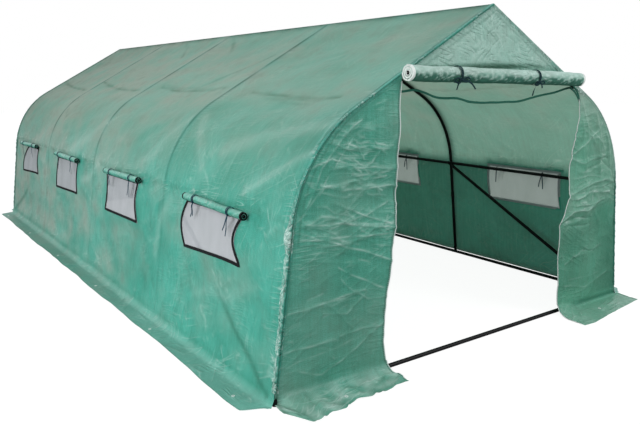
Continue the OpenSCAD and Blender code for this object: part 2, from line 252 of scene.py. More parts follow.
def surface(w, shader):
    w.node("ShaderNodeOutputMaterial", None, {"Surface": shader}, None)


def object_place(w):
    return w.node("ShaderNodeTexCoord", out="Object")


def flat_cut(w):
    """Place on the flat cut of a sheet or tape, in metres."""
    return w.node("ShaderNodeUVMap", {"uv_map": "cut"})


def bump(w, strength, distance, height):
    return w.node("ShaderNodeBump", None, {"Strength": strength, "Distance": distance, "Height": height})


def coat(w, colour, rough, normal, **others):
    sockets = {"Base Color": colour, "Roughness": rough, "Normal": normal, **others}
    return w.node("ShaderNodeBsdfPrincipled", None, sockets)


def mixed(w, share, a, b):
    """Shader a where the share is 0 and b where it is 1."""
    return w.node("ShaderNodeMixShader", None, {0: share, 1: a, 2: b})


def lines(w, length, each_metre, share):
    """Thin lines across a length, a given number to the metre."""
    step = w.node("ShaderNodeMath", {"operation": "FRACT"}, {0: length * each_metre})
    return abs(step - 0.5) > 0.5 - share / 2


def wrinkles(place, cut, runs):
    """Fine wrinkles that each run one way over the cut, broken into patches: how white they are, as stress
    whitening with painted glints, and how high. A run is its turn, and how often it changes along and across
    itself in a metre."""
    wander = cut.moved(cut.noise(1.8, 2.0, 0.5, "Color"), 0.12)
    white, high = 0.0, 0.0
    for turn, along, across in runs:
        wave = wander.turned(turn).stretched(along, across, 1.0).noise(1.0, 0.6, 0.4)
        off = abs(wave - 0.5)
        patch = place.noise(2.3 + 0.07 * across, 3.0, 0.65).between(0.50, 0.60)
        white = white + (1.0 - off.between(0.0, 0.0007 * across + 0.008)) * patch
        high = high + (1.0 - off.between(0.0, 0.13)) * patch
    return white, high


# Dark green of random tone and grain, and of painted shade
DARK_TONE_AND_SHADE = rgb(0.008, 0.105, 0.064)
STRAND = rgb(0.17, 0.56, 0.45)
SPECK = rgb(0.14, 0.57, 0.46)
# Grey of dust with painted sheen
DUST_AND_SHEEN_TINT = rgb(0.312, 0.405, 0.345)
# White of stress whitening with painted sheen and glints
WHITENING_AND_SHEEN_TINT = rgb(0.62, 0.82, 0.75)
PASSED_LIGHT = rgb(0.47, 0.59, 0.47)


def film_finish(name, deep, pale, through, crinkle, grain, runs):
    """Green woven film: reinforcing strands, broad tone, fine wrinkles gone white with stress whitening and
    painted glints, a dusting with painted sheen, and painted shade where tubes behind it block the light and
    in its folds. Through is the share of light that passes, crinkle the height of its wrinkles, grain the
    strength of its specks."""
    mat, w = finish(name)
    place, cut = object_place(w), flat_cut(w)
    pressed, creased, whitened, thin, dusty = (
        w.node("ShaderNodeAttribute", {"attribute_name": mark}, out="Fac") for mark in MARKS)
    strands = lines(w, cut.part(0), 100, 0.16) + lines(w, cut.part(1), 100, 0.16)
    tone = place.noise(1.7, 5.0, 0.6)
    dust_and_sheen_patches = place.noise(1.3, 4.0, 0.6).between(0.32, 0.66)
    speck = cut.noise(150.0, 2.0, 0.6)
    streak = cut.stretched(55.0, 3.5, 1.0).noise(1.0, 2.0)
    mottle = place.noise(6.5, 5.0, 0.66)
    white, high = wrinkles(place, cut, runs)
    crumple = abs(place.noise(5.5, 4.0, 0.55) - 0.5).between(0.0, 0.14)
    rumple = place.noise(9.0, 4.0, 0.6)

    light_grain = ((speck - 0.5) * grain + (streak - 0.5) * 0.5).between(0.0, 0.30)
    dark_grain = ((0.5 - speck) * grain + (0.5 - streak) * 0.5).between(0.0, 0.35)
    # Dust with painted sheen greys the film in patches
    dust_and_sheen_share = dusty * (0.20 + dust_and_sheen_patches * 0.55 + mottle.between(0.30, 0.62) * 0.40)
    colour = (tone * 2.4 - 0.7).blend(deep, pale)
    # Painted shade darkens the film where tubes block light through it and in its folds; the white is stress
    # whitening with painted glints and sheen
    for share, tint in ((strands * 0.13, STRAND), (light_grain * 0.4, SPECK), (dark_grain * 0.4, DARK_TONE_AND_SHADE),
                        (mottle.between(0.50, 0.72) * 0.27, DARK_TONE_AND_SHADE), (dust_and_sheen_share, DUST_AND_SHEEN_TINT),
                        (dusty * mottle.between(0.50, 0.66) * 0.24, DARK_TONE_AND_SHADE),
                        (white * (creased * 0.75 + 0.015) + whitened, WHITENING_AND_SHEEN_TINT), (pressed * 0.82, DARK_TONE_AND_SHADE)):
        colour = share.blend(colour, tint)
    passed = {0: 0.55, MIX_A: colour, MIX_B: PASSED_LIGHT}
    light = w.node("ShaderNodeMix", {"data_type": "RGBA"}, passed, MIX_OUT)

    height = high * (creased * 0.45 + 0.10) + rumple * (creased * 0.5 + 0.15)
    height = height - crumple * 0.20 - pressed * 0.30
    height = height * crinkle + strands * 0.02 + speck * 0.03
    relief = bump(w, 1.0, 0.012, height)
    gloss = 0.24 + speck * 0.14 + pressed * 0.45 + dusty * 0.20
    glow = w.node("ShaderNodeBsdfTranslucent", None, {"Color": light, "Normal": relief})
    surface(w, mixed(w, through + thin * 0.42, coat(w, colour, gloss, relief, IOR=1.36), glow))
    return mat


def net_finish():
    """Fine pale netting: threads close together, partly seen through."""
    mat, w = finish("window_net")
    place, cut = object_place(w), flat_cut(w)
    threads = lines(w, cut.part(0), 420, 0.4) + lines(w, cut.part(1), 420, 0.4)
    fold = place.stretched(1.0, 1.0, 0.35).noise(9.0, 3.0)
    colour = (fold * 1.6 - 0.3).blend(rgb(0.41, 0.415, 0.46), rgb(0.545, 0.545, 0.60))
    yarn = coat(w, colour, 0.75, bump(w, 0.5, 0.004, fold + threads * 0.05))
    glow = w.node("ShaderNodeBsdfTranslucent", None, {"Color": rgb(0.44, 0.54, 0.47)})
    holes = w.node("ShaderNodeBsdfTransparent", None, {"Color": rgb(1, 1, 1)})
    surface(w, mixed(w, 0.88 + threads * 0.08, holes, mixed(w, 0.27, yarn, glow)))
    return mat


def tape_finish(name, dark, light, rough, stitch=0.0):
    """Woven tape: fine ribs, a stitched line along it and worn tone."""
    mat, w = finish(name)
    place, along = object_place(w), flat_cut(w).part(0)
    grain = place.noise(320.0)
    worn = place.noise(16.0, 5.0, 0.7)
    dashes = lines(w, along, 90, 0.55) * stitch
    colour = (grain * 0.5 + worn * 0.7 - 0.25).blend(dark, light)
    colour = (dashes * 0.7).blend(colour, rgb(0.02, 0.10, 0.07))
    ribbed = bump(w, 0.6, 0.0008, lines(w, along, 600, 0.5) + grain * 0.5)
    surface(w, coat(w, colour, rough, ribbed, IOR=1.3))
    return mat


def coated_finish(name, colour, scuffed, rough, depth=1.5, metal=0.0):
    """Painted, moulded or plated surface with orange peel and scuffs."""
    mat, w = finish(name)
    place = object_place(w)
    peel = bump(w, 0.25, 0.0006, place.noise(380.0))
    scuffs = place.noise(22.0, 6.0, 0.75).between(0.56, 0.74)
    tint = (scuffs * 0.6).blend(colour, scuffed)
    surface(w, coat(w, tint, rough + scuffs * 0.18, peel, Metallic=metal, IOR=depth))
    return mat


# Ways that the wrinkles run on slack walls, level panels, crumpled film and gathered hems
SLACK_RUNS = [(0.45, 1.6, 13.0), (-0.75, 2.0, 17.0), (1.45, 2.2, 21.0), (0.10, 3.0, 34.0)]
LEVEL_RUNS = [(0.06, 1.5, 12.0), (-0.24, 2.0, 17.0), (0.42, 2.5, 23.0), (-0.05, 4.0, 36.0)]
CROSS_RUNS = [(0.55, 4.0, 22.0), (-0.50, 4.0, 27.0), (1.50, 3.0, 24.0), (0.15, 6.0, 48.0)]
GATHERED_RUNS = [(0.60, 10.0, 42.0), (-0.65, 12.0, 55.0), (1.45, 9.0, 60.0)]
COVER = film_finish("cover_film", rgb(0.026, 0.290, 0.210), rgb(0.072, 0.430, 0.335),
                    through=0.07, crinkle=0.60, grain=0.6, runs=SLACK_RUNS)
PANEL = film_finish("end_film", rgb(0.026, 0.250, 0.175), rgb(0.068, 0.370, 0.272),
                    through=0.20, crinkle=0.70, grain=1.0, runs=LEVEL_RUNS)
# The end film again in warmer colours, standing in for warmer light on the right front panel: painted light
WARM_LIT_PANEL = film_finish("warm_lit_film", rgb(0.032, 0.245, 0.150), rgb(0.096, 0.370, 0.245),
                           through=0.20, crinkle=0.90, grain=1.0, runs=LEVEL_RUNS)
GABLE = film_finish("gable_film", rgb(0.034, 0.250, 0.180), rgb(0.100, 0.385, 0.288),
                    through=0.20, crinkle=1.50, grain=1.8, runs=CROSS_RUNS)
# The rolled door's film has paler, greyer colours than the end film: painted sheen on the roll
ROLLED = film_finish("rolled_film", rgb(0.120, 0.330, 0.255), rgb(0.280, 0.520, 0.430),
                     through=0.06, crinkle=1.20, grain=0.8, runs=CROSS_RUNS)
FLAP = film_finish("flap_film", rgb(0.045, 0.350, 0.260), rgb(0.130, 0.540, 0.430),
                   through=0.06, crinkle=1.00, grain=0.8, runs=CROSS_RUNS)
HEM = film_finish("hem_film", rgb(0.016, 0.225, 0.165), rgb(0.080, 0.440, 0.340),
                  through=0.10, crinkle=1.0, grain=1.0, runs=GATHERED_RUNS)
NET = net_finish()
BLACK_TAPE = tape_finish("black_binding", rgb(0.003, 0.003, 0.004), rgb(0.012, 0.013, 0.016), 0.85)
BLUE_TAPE = tape_finish("blue_tie", rgb(0.004, 0.026, 0.046), rgb(0.016, 0.085, 0.130), 0.75)
TEAL_TAPE = tape_finish("teal_tie", rgb(0.003, 0.020, 0.026), rgb(0.010, 0.058, 0.070), 0.75)
DARK_TAPE = tape_finish("dark_green_hem", rgb(0.005, 0.075, 0.048), rgb(0.014, 0.160, 0.105), 0.6)
PALE_TAPE = tape_finish("pale_zip", rgb(0.16, 0.40, 0.32), rgb(0.34, 0.58, 0.49), 0.55, stitch=1.0)
PALE_CORD = tape_finish("pale_piping", rgb(0.78, 0.84, 0.80), rgb(0.94, 0.97, 0.95), 0.5)
TUBE_BLACK = coated_finish("black_tube", rgb(0.004, 0.004, 0.005), rgb(0.022, 0.023, 0.025), 0.34, 1.25)
SOCKET_BLACK = coated_finish("black_fitting", rgb(0.006, 0.006, 0.007), rgb(0.030, 0.030, 0.032), 0.50, 1.25)
FOOT_BLACK = coated_finish("black_rubber", rgb(0.006, 0.006, 0.006), rgb(0.040, 0.038, 0.035), 0.70, 1.25)
BOLT_STEEL = coated_finish("zinc_bolt", rgb(0.050, 0.050, 0.052), rgb(0.20, 0.19, 0.18), 0.40, metal=0.8)
RING_METAL = coated_finish("plated_ring", rgb(0.92, 0.93, 0.91), rgb(0.66, 0.66, 0.62), 0.35, metal=0.3)


# Camera, floor and light


def make_camera():
    """The photograph's camera: the way it looks, where it stands, and its focal length and shift in
    pixels."""
    right = (0.8367, -0.54752, -0.012441)
    down = (-0.115223, -0.15378, -0.981364)
    ahead = (0.535403, 0.822541, -0.191754)
    place = (-3.1044, -5.5290, 1.6112)
    focal, shift_x, shift_y = 653.96, 41.83, -6.98
    photo_w, sensor = 640, 36.0
    data = bpy.data.cameras.new("photo_view")
    cam = bpy.data.objects.new("photo_view", data)
    bpy.context.collection.objects.link(cam)
    turn = Matrix([(right[k], -down[k], -ahead[k]) for k in range(3)]).to_4x4()
    cam.matrix_world = Matrix.Translation(place) @ turn
    data.sensor_width = sensor
    data.lens = focal / photo_w * sensor
    data.shift_x = shift_x / photo_w
    data.shift_y = shift_y / photo_w
    data.clip_end = 200
    bpy.context.scene.camera = cam


def rays(w, *kinds):
    """1 for the named kinds of ray."""
    found = [w.node("ShaderNodeLightPath", out=kind) for kind in kinds]
    return sum(found[1:], found[0])


def make_stage():
    """The pale floor, and a studio that looks white behind the tunnel."""
    bpy.ops.object.select_all(action="DESELECT")
    bpy.ops.mesh.primitive_plane_add(size=60, location=(0, 0, -0.0005))
    floor = bpy.context.object
    floor.name = "floor"
    mat, w = finish("pale_floor")
    seen = rays(w, "Is Camera Ray", "Is Transmission Ray")
    paint = w.node("ShaderNodeBsdfDiffuse", None, {"Color": rgb(0.42, 0.43, 0.42)})
    white = w.node("ShaderNodeEmission", None, {"Color": rgb(1, 1, 1), "Strength": 1.54})
    surface(w, mixed(w, seen * 0.6, paint, white))
    floor.data.materials.append(mat)

    world = bpy.data.worlds.new("studio")
    bpy.context.scene.world = world
    world.use_nodes = True
    world.node_tree.nodes.clear()
    w = Wire(world.node_tree)
    seen = rays(w, "Is Camera Ray", "Is Glossy Ray", "Is Transmission Ray")
    sky = w.node("ShaderNodeBackground", None, {"Color": rgb(0.93, 0.97, 1.0), "Strength": 0.55})
    white = w.node("ShaderNodeBackground", None, {"Color": rgb(1, 1, 1), "Strength": 1.0})
    w.node("ShaderNodeOutputWorld", None, {"Surface": mixed(w, seen, sky, white)}, None)


def make_lamp(name, place, target, size, power):
    """A round soft lamp that points at a target."""
    data = bpy.data.lights.new(name, "AREA")
    data.shape, data.size, data.energy = "DISK", size, power
    lamp = bpy.data.objects.new(name, data)
    bpy.context.collection.objects.link(lamp)
    lamp.location = place
    lamp.rotation_euler = (Vector(target) - Vector(place)).to_track_quat("-Z", "Y").to_euler()


bpy.context.scene.view_settings.view_transform = "Standard"
make_camera()
make_stage()
make_lamp("left_softbox", (-8.0, -2.8, 2.6), (-1.2, -0.8, 0.6), 5.5, 365)
make_lamp("front_softbox", (3.0, -8.5, 5.0), (0.3, -2.0, 1.0), 4.0, 245)
make_lamp("rear_softbox", (1.0, 12.0, 6.0), (0.0, 0.0, 1.6), 14.0, 125)


# Sheets and tapes


class Cloth:
    """Grids of points gathered into one piece, with each point's place on the flat cut and its marks."""

    def __init__(self):
        self.points, self.cuts, self.faces, self.slots = [], [], [], []
        self.marks = {mark: [] for mark in MARKS}
        self.count = 0

    def grid(self, points, cut, slot=0, keep=None, round_rows=False, round_cols=False, **marks):
        """Add rows of points with a face between each four, and return the numbers of the points."""
        rows, cols = points.shape[:2]
        index = np.arange(rows * cols).reshape(rows, cols) + self.count
        down = np.roll(index, -1, 0) if round_rows else index[1:]
        upper = index if round_rows else index[:-1]
        quads = np.stack([upper, down, np.roll(down, -1, 1), np.roll(upper, -1, 1)], axis=-1)
        quads = quads if round_cols else quads[:, :-1]
        which = np.broadcast_to(np.asarray(slot), quads.shape[:2])
        if keep is not None:
            quads, which = quads[keep], which[keep]
        self.faces.append(quads.reshape(-1, 4))
        self.slots.append(which.reshape(-1))
        self.points.append(points.reshape(-1, 3))
        self.cuts.append(cut.reshape(-1, 2))
        for mark in MARKS:
            value = marks.get(mark, 0.0)
            self.marks[mark].append(np.broadcast_to(value, (rows, cols)).reshape(-1))
        self.count += rows * cols
        return index

    def patch(self, quads, slot=0):
        self.faces.append(np.asarray(quads).reshape(-1, 4))
        self.slots.append(np.full(len(self.faces[-1]), slot))

    def piece(self, name, slot_name, *finishes):
        points, faces = np.concatenate(self.points), np.concatenate(self.faces)
        used, inverse = np.unique(faces, return_inverse=True)
        faces = inverse.reshape(-1, 4)
        mesh = bpy.data.meshes.new(name)
        mesh.from_pydata(points[used].tolist(), [], faces.tolist())
        for mat in finishes:
            mesh.materials.append(mat)
        mesh.polygons.foreach_set("material_index", np.concatenate(self.slots).astype(np.int32))
        layer = mesh.uv_layers.new(name="cut")
        flat = np.concatenate(self.cuts)[used][faces.reshape(-1)]
        layer.data.foreach_set("uv", flat.astype(np.float32).reshape(-1))
        for mark, value in self.marks.items():
            held = mesh.attributes.new(mark, "FLOAT", "POINT")
            held.data.foreach_set("value", np.concatenate(value)[used].astype(np.float32))
        mesh.polygons.foreach_set("use_smooth", [True] * len(mesh.polygons))
        mesh.update()
        piece = bpy.data.objects.new(name, mesh)
        bpy.context.collection.objects.link(piece)
        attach(piece, "root")
        return piece


def unit(v):
    return v / np.maximum(np.linalg.norm(v, axis=-1, keepdims=True), 1e-9)


def along_path(path, closed=False):
    """Directions of a path at its points."""
    if closed:
        return unit(np.roll(path, -1, 0) - np.roll(path, 1, 0))
    return unit(np.gradient(path, axis=0))


def run_along(path):
    """Length along a path at each of its points."""
    return np.concatenate([[0], np.cumsum(np.linalg.norm(np.diff(path, axis=0), axis=1))])


def smooth_path(points, count):
    """A curve through the points, at even steps."""
    p = np.asarray(points, float)
    padded = np.concatenate([2 * p[:1] - p[1:2], p, 2 * p[-1:] - p[-2:-1]])
    t = np.linspace(0, len(p) - 1.000001, count)
    k = t.astype(int)
    f = (t - k)[:, None]
    a, b, c, d = (padded[k + i] for i in range(4))
    return 0.5 * (2 * b + (c - a) * f + (2 * a - 5 * b + 4 * c - d) * f**2 + (3 * b - a - 3 * c + d) * f**3)


def tape(cloth, path, wide, width, thick, slot=0, closed=False, **marks):
    """A flat tape along a path: wide is the direction across it at each point."""
    path = np.asarray(path, float)
    ahead = along_path(path, closed)
    wide = np.broadcast_to(np.asarray(wide, float), path.shape)
    wide = unit(wide - ahead * np.sum(wide * ahead, axis=-1, keepdims=True))
    face = np.cross(wide, ahead)
    a, b = width / 2, thick / 2
    half = [(a, b * 0.4), (a * 0.96, b), (-a * 0.96, b), (-a, b * 0.4)]
    ring = np.array([(-x, -y) for x, y in half] + half)
    points = path[:, None] + wide[:, None] * ring[None, :, :1] + face[:, None] * ring[None, :, 1:]
    length = np.repeat(run_along(path)[:, None], len(ring), 1)
    cut = np.stack([length, np.repeat(ring[None, :, 0], len(path), 0)], axis=-1)
    index = cloth.grid(points, cut, slot, round_rows=closed, round_cols=True, **marks)
    if not closed:
        first, last = index[0], index[-1]
        cloth.patch([first[[0, 1, 6, 7]], first[[1, 2, 5, 6]], first[[2, 3, 4, 5]]], slot)
        cloth.patch([last[[7, 6, 1, 0]], last[[6, 5, 2, 1]], last[[5, 4, 3, 2]]], slot)


def piping(cloth, path, radius, slot=0, sides=8):
    """A thin round cord sewn along an edge."""
    path = np.asarray(path, float)
    ahead = along_path(path)
    side = unit(np.cross(ahead, (0.31, 0.17, 0.93)))
    other = np.cross(ahead, side)
    a = np.linspace(0, 2 * math.pi, sides, endpoint=False)
    ring = side[:, None] * np.cos(a)[None, :, None] + other[:, None] * np.sin(a)[None, :, None]
    points = path[:, None] + radius * ring
    length = np.repeat(run_along(path)[:, None], sides, 1)
    cut = np.stack([length, np.repeat((a * radius)[None], len(path), 0)], axis=-1)
    index = cloth.grid(points, cut, slot, round_cols=True)
    for end in (index[0][::-1], index[-1]):
        for k in range(1, sides // 2):
            cloth.patch([end[[k - 1, k, sides - 1 - k, sides - k]]], slot)


def far_from(u, v, places):
    """Distance from a line through places."""
    far = np.full_like(u, 9.0)
    for (u0, v0), (u1, v1) in zip(places[:-1], places[1:]):
        du, dv = u1 - u0, v1 - v0
        t = np.clip(((u - u0) * du + (v - v0) * dv) / (du * du + dv * dv), 0, 1)
        far = np.minimum(far, np.hypot(u - u0 - t * du, v - v0 - t * dv))
    return far


def crease_marks(u, v, creases, wander=0.022, line=0.0055):
    """Height and whiteness that drawn creases give a sheet, the whiteness being stress whitening with painted
    glints: each is (points, height, width, white).
    """
    height, white = np.zeros_like(u), np.zeros_like(u)
    broken = np.clip(0.55 + 0.9 * ripple(u * 13, v * 17, 17), 0, 1.2)
    u, v = u + ripple(u * 6, v * 6, 18) * wander, v + ripple(u * 7, v * 7, 19) * wander
    for places, tall, width, pale in creases:
        far = far_from(u, v, places)
        height += tall * np.exp(-far / width)
        white = np.maximum(white, pale * broken * hump(far, line))
    return height, white


def with_lesser(creases, seed, count):
    """The creases, and shorter and lower ones close beside each."""
    chance = np.random.default_rng(seed)
    out = list(creases)
    for places, tall, width, pale in creases:
        (u0, v0), (u1, v1) = places[0], places[-1]
        for _ in range(count):
            a, b = np.sort(chance.uniform(-0.1, 1.1, 2))
            rise, tilt = chance.normal(0, 0.035, 2), chance.normal(0, 0.012, 2)
            stops = ((a, -1), ((a + b) / 2, rise[1] * 8), (b, 1))
            line = [(u0 + (u1 - u0) * t, v0 + (v1 - v0) * t + rise[0] + tilt[0] * n) for t, n in stops]
            out.append((line, tall * chance.uniform(-0.6, 0.7), width * 0.6, pale * chance.uniform(0.3, 1.0)))
    return out


def drawn_wrinkles(seed, count, low, high, reach):
    """Fine wavy wrinkles that start near the loose edge of a front panel and run outward, between two
    heights."""
    chance = np.random.default_rng(seed)
    out = []
    for _ in range(count):
        x0, z0 = 0.74 + abs(chance.normal(0, 0.16)), chance.uniform(low, high)
        far, slope, bow = chance.uniform(0.25, 1.0) * reach, chance.normal(0.14, 0.20), chance.normal(0, 0.05)
        part = np.linspace(0, 1, 5)
        x = x0 + far * part
        z = z0 + far * slope * part + bow * far * np.sin(part * math.pi) * 3 + chance.normal(0, 0.006, 5)
        out.append((list(zip(x, z)), chance.uniform(0.002, 0.006), 0.009, chance.uniform(0.08, 0.62)))
    return out


def steps(start, *stops):
    """Values from the start through the stops, each with the number of steps that leads to it."""
    out, at = [np.array([start])], start
    for value, count in stops:
        out.append(np.linspace(at, value, count + 1)[1:])
        at = value
    return np.concatenate(out)


def from_hoop(y):
    """Place between two hoops: 0 at a hoop and 1 halfway."""
    k = (y + HOOP_Y) / BAY
    return np.abs(k - np.clip(np.round(k), 0, 4)) * 2


# How far the sewn-in netting pulls the front, rear and lower edges of the windows of each bay
BOW_FRONT = (0.085, 0.045, 0.030, 0.050)
BOW_REAR = (0.070, -0.020, 0.020, 0.045)
SLANT = (0.030, 0.012, 0.020, 0.030)
PINCH = (0.0, 0.0, 0.03, 0.22)
DRIFT = (0.045, 0.060, 0.045, 0.0)
RAISE = (0.022, 0.0, 0.0, 0.012)


def window_pull(y, up, side=-1.0):
    """Shift along the tunnel and up the wall of film near the windows. The right side is pulled less."""
    shift_y, shift_up = np.zeros_like(y), np.zeros_like(y)
    v = (up - SILL) / OPENING_H
    near = ease(-0.45, 0.0, v) * (1 - ease(1.0, 1.45, v))
    bow = np.sin(np.clip(v, 0, 1) * math.pi)
    for k, middle in enumerate(BAY_MIDDLES):
        front = hump(y - middle + OPENING_W / 2, 0.13) * near
        rear = hump(y - middle - OPENING_W / 2, 0.13) * near
        front_shift = bow * BOW_FRONT[k] - 0.022 * (1 - v) * (v < 1)
        rear_shift = bow * BOW_REAR[k] - PINCH[k] * np.clip(v, 0, 1.2) ** 2
        shift_y += front * front_shift + rear * rear_shift
        low = hump(np.minimum(v, 0.6), 0.5) * hump(y - middle, 0.45, 4)
        shift_up += low * (SLANT[k] * np.clip((middle - y) / 0.33, -1, 1) * 0.6 + RAISE[k])
        shift_y += DRIFT[k] * near * hump(y - middle, 0.52, 6)
    share = np.where(np.asarray(side) < 0, 1.0, 0.15)
    return shift_y * share, shift_up * share


# Where the eyelets are in the skirts of the two sides and the two ends
SIDE_EYELETS = (-2.78, -1.668, -0.556, 0.556, 1.668, 2.78)
EYELETS = [(e * 1.60745, y) for e in (-1, 1) for y in SIDE_EYELETS]
EYELETS += [(x, e * 3.1148) for x in (-1.13, 1.13) for e in (-1, 1)]


def clear_of_eyelets(x, y):
    """0 on and close round the eyelets, where a skirt lies flat, and 1 away from them."""
    far = np.full_like(x, 9.0)
    for ex, ey in EYELETS:
        far = np.minimum(far, np.hypot(x - ex, y - ey))
    return ease(0.02, 0.09, far)


# Creases of the cover's left side as (line, height, width, whiteness), the whiteness being stress whitening
# with painted glints. A line goes through places, each given as its distance from the ridge and its place
# along the tunnel
ROOF_CREASES = [
    ([(0.87, 2.95), (0.96, 2.3), (1.01, 1.70)], -0.006, 0.020, 0.0),
    ([(0.87, 1.45), (0.95, 0.9), (0.99, 0.20)], -0.007, 0.022, 0.0),
    ([(0.93, -0.20), (0.96, -0.60), (0.96, -1.35)], -0.008, 0.022, 0.0),
    ([(0.97, -1.75), (0.99, -2.2), (0.985, -2.70)], -0.007, 0.022, 0.0),
    ([(0.10, -1.10), (0.55, -0.75)], -0.004, 0.015, 0.0),
    ([(0.45, -2.20), (0.80, -1.60)], -0.005, 0.018, 0.0)]
EAVE_CREASES = [
    ([(1.24, -2.97), (1.31, -2.74), (1.37, -2.42), (1.53, -2.10)], 0.012, 0.045, 0.0),
    ([(1.42, -2.98), (1.50, -2.91), (1.61, -2.72), (1.72, -2.52)], 0.011, 0.035, 0.0),
    ([(1.56, -2.98), (1.66, -2.86), (1.78, -2.70)], 0.007, 0.020, 0.15),
    ([(1.30, -1.62), (1.52, -1.80), (1.66, -1.95)], 0.006, 0.030, 0.0),
    ([(1.62, -2.02), (1.66, -2.10), (1.70, -2.14)], 0.003, 0.008, 0.35),
    ([(1.35, -1.50), (1.50, -1.30), (1.70, -1.05)], 0.007, 0.030, 0.0),
    ([(1.40, -0.95), (1.58, -0.70), (1.62, -0.45)], 0.006, 0.025, 0.0)]
WALL_CREASES = [
    ([(2.262, -2.97), (2.36, -2.55), (2.47, -2.10), (2.58, -1.65)], -0.006, 0.018, 0.0),
    ([(2.10, -2.90), (2.22, -2.60), (2.33, -2.25)], 0.004, 0.012, 0.10),
    ([(2.18, -1.75), (2.30, -1.95), (2.44, -2.05)], 0.005, 0.015, 0.12),
    ([(1.80, -2.95), (1.90, -2.80), (2.02, -2.74)], 0.005, 0.012, 0.20),
    ([(1.86, -1.52), (2.00, -1.36), (2.16, -1.20)], 0.006, 0.016, 0.10),
    ([(1.83, -1.40), (1.98, -1.12), (2.05, -1.02)], 0.004, 0.010, 0.15),
    ([(2.55, -2.35), (2.62, -2.30), (2.66, -2.18)], 0.003, 0.008, 0.30),
    ([(2.48, -2.12), (2.52, -2.20), (2.60, -2.24)], 0.003, 0.008, 0.30),
    ([(1.85, 0.02), (2.05, 0.22), (2.25, 0.30)], 0.005, 0.016, 0.08),
    ([(1.84, 1.52), (2.02, 1.70), (2.20, 1.74)], 0.005, 0.016, 0.08)]

# Painted shade along the swags in the slack between hoops as (line, depth, width), and painted sheen in pale
# bands over the eaves as (line, width, strength), on lines like those of the creases
SWAG_SHADE = [
    ([(0.87, 2.95), (0.96, 2.30), (1.01, 1.70)], 0.62, 0.016),
    ([(0.87, 1.45), (0.95, 0.90), (0.99, 0.20)], 0.62, 0.016),
    ([(0.93, -0.20), (0.97, -0.60), (0.94, -1.35)], 0.68, 0.016),
    ([(0.90, -0.25), (0.93, -0.55), (0.92, -0.85)], 0.35, 0.014),
    ([(0.96, -1.75), (1.00, -2.20), (0.985, -2.70)], 0.70, 0.016),
    ([(1.02, -1.95), (1.05, -2.25), (1.06, -2.50)], 0.35, 0.014),
    ([(0.957, -0.844), (0.688, -1.049), (0.439, -1.307)], 0.55, 0.014),
    ([(0.05, 0.90), (0.16, 0.70), (0.32, 0.55)], 0.45, 0.018),
    ([(0.04, -0.10), (0.18, -0.30), (0.30, -0.42)], 0.50, 0.018)]
SHEEN_BANDS = [
    ([(1.244, -3.03), (1.314, -2.74), (1.371, -2.42), (1.533, -2.12)], 0.045, 0.22),
    ([(1.424, -3.06), (1.50, -2.90), (1.61, -2.72), (1.72, -2.52)], 0.032, 0.24),
    ([(1.30, -1.62), (1.52, -1.80), (1.66, -1.95)], 0.040, 0.16),
    ([(1.35, -1.42), (1.58, -1.20), (1.74, -1.05)], 0.055, 0.15),
    ([(1.90, -1.60), (2.10, -1.45), (2.30, -1.42)], 0.040, 0.15),
    ([(2.20, -2.75), (2.34, -2.45), (2.42, -2.00)], 0.026, 0.09),
    ([(1.45, 0.10), (1.62, 0.35), (1.76, 0.70)], 0.055, 0.16),
    ([(1.80, -0.10), (1.96, 0.10), (2.02, 0.30)], 0.035, 0.18)]


def scattered_creases():
    """Chance creases over both slopes and walls, most of them near the eaves and the purlins."""
    chance = np.random.default_rng(23)
    creases = []
    for _ in range(170):
        side = chance.choice((-1, 1))
        s = float(np.clip(chance.normal(1.75, 0.45), 0.25, S_TURN - 0.05))
        y = chance.uniform(-2.9, 2.9)
        lean = chance.normal(0.45, 0.55) * (1 if chance.random() < 0.7 else -1)
        far = chance.uniform(0.06, 0.30)
        tall = chance.uniform(0.002, 0.006) * chance.choice((-1, 1, 1))
        run_s, run_y = far * math.sin(lean), far * math.cos(lean)
        bend = chance.uniform(-0.25, 0.25) * far
        halfway = (side * (s + run_s * 0.5 + bend * 0.3), y + run_y * 0.5)
        places = [(side * s, y), halfway, (side * (s + run_s), y + run_y)]
        creases.append((places, tall, chance.uniform(0.012, 0.026), chance.choice((0.0, 0.0, 0.12, 0.30))))
    return creases


def cover_places():
    """Places of the cover's points on its flat cut, as signed distance from the ridge and place along the
    tunnel. They are closest in front, and rows of them follow the edges of the window openings."""
    ys = [[-HALF_L - 0.002, -HALF_L + 0.006]]
    for middle, beside, window in zip(BAY_MIDDLES, (28, 20, 14, 14), (44, 32, 22, 20)):
        hoop = middle - BAY / 2
        stops = ((hoop + 0.05, 5), (middle - OPENING_W / 2, beside), (middle + OPENING_W / 2, window),
                 (hoop + BAY - 0.05, beside), (hoop + BAY, 5))
        ys.append(steps(hoop, *stops)[:-1])
    ys.append([HOOP_Y, HALF_L - 0.006, HALF_L + 0.002])
    ss = steps(0.0, (0.012, 1), (S_EAVE, 48), (S_WINDOW, 44), (S_WINDOW + OPENING_H, 16), (S_TURN, 28),
               (S_FLAT, 8), (S_EDGE, 7))
    return np.meshgrid(np.concatenate([-ss[:0:-1], ss]), np.concatenate(ys), indexing="ij")


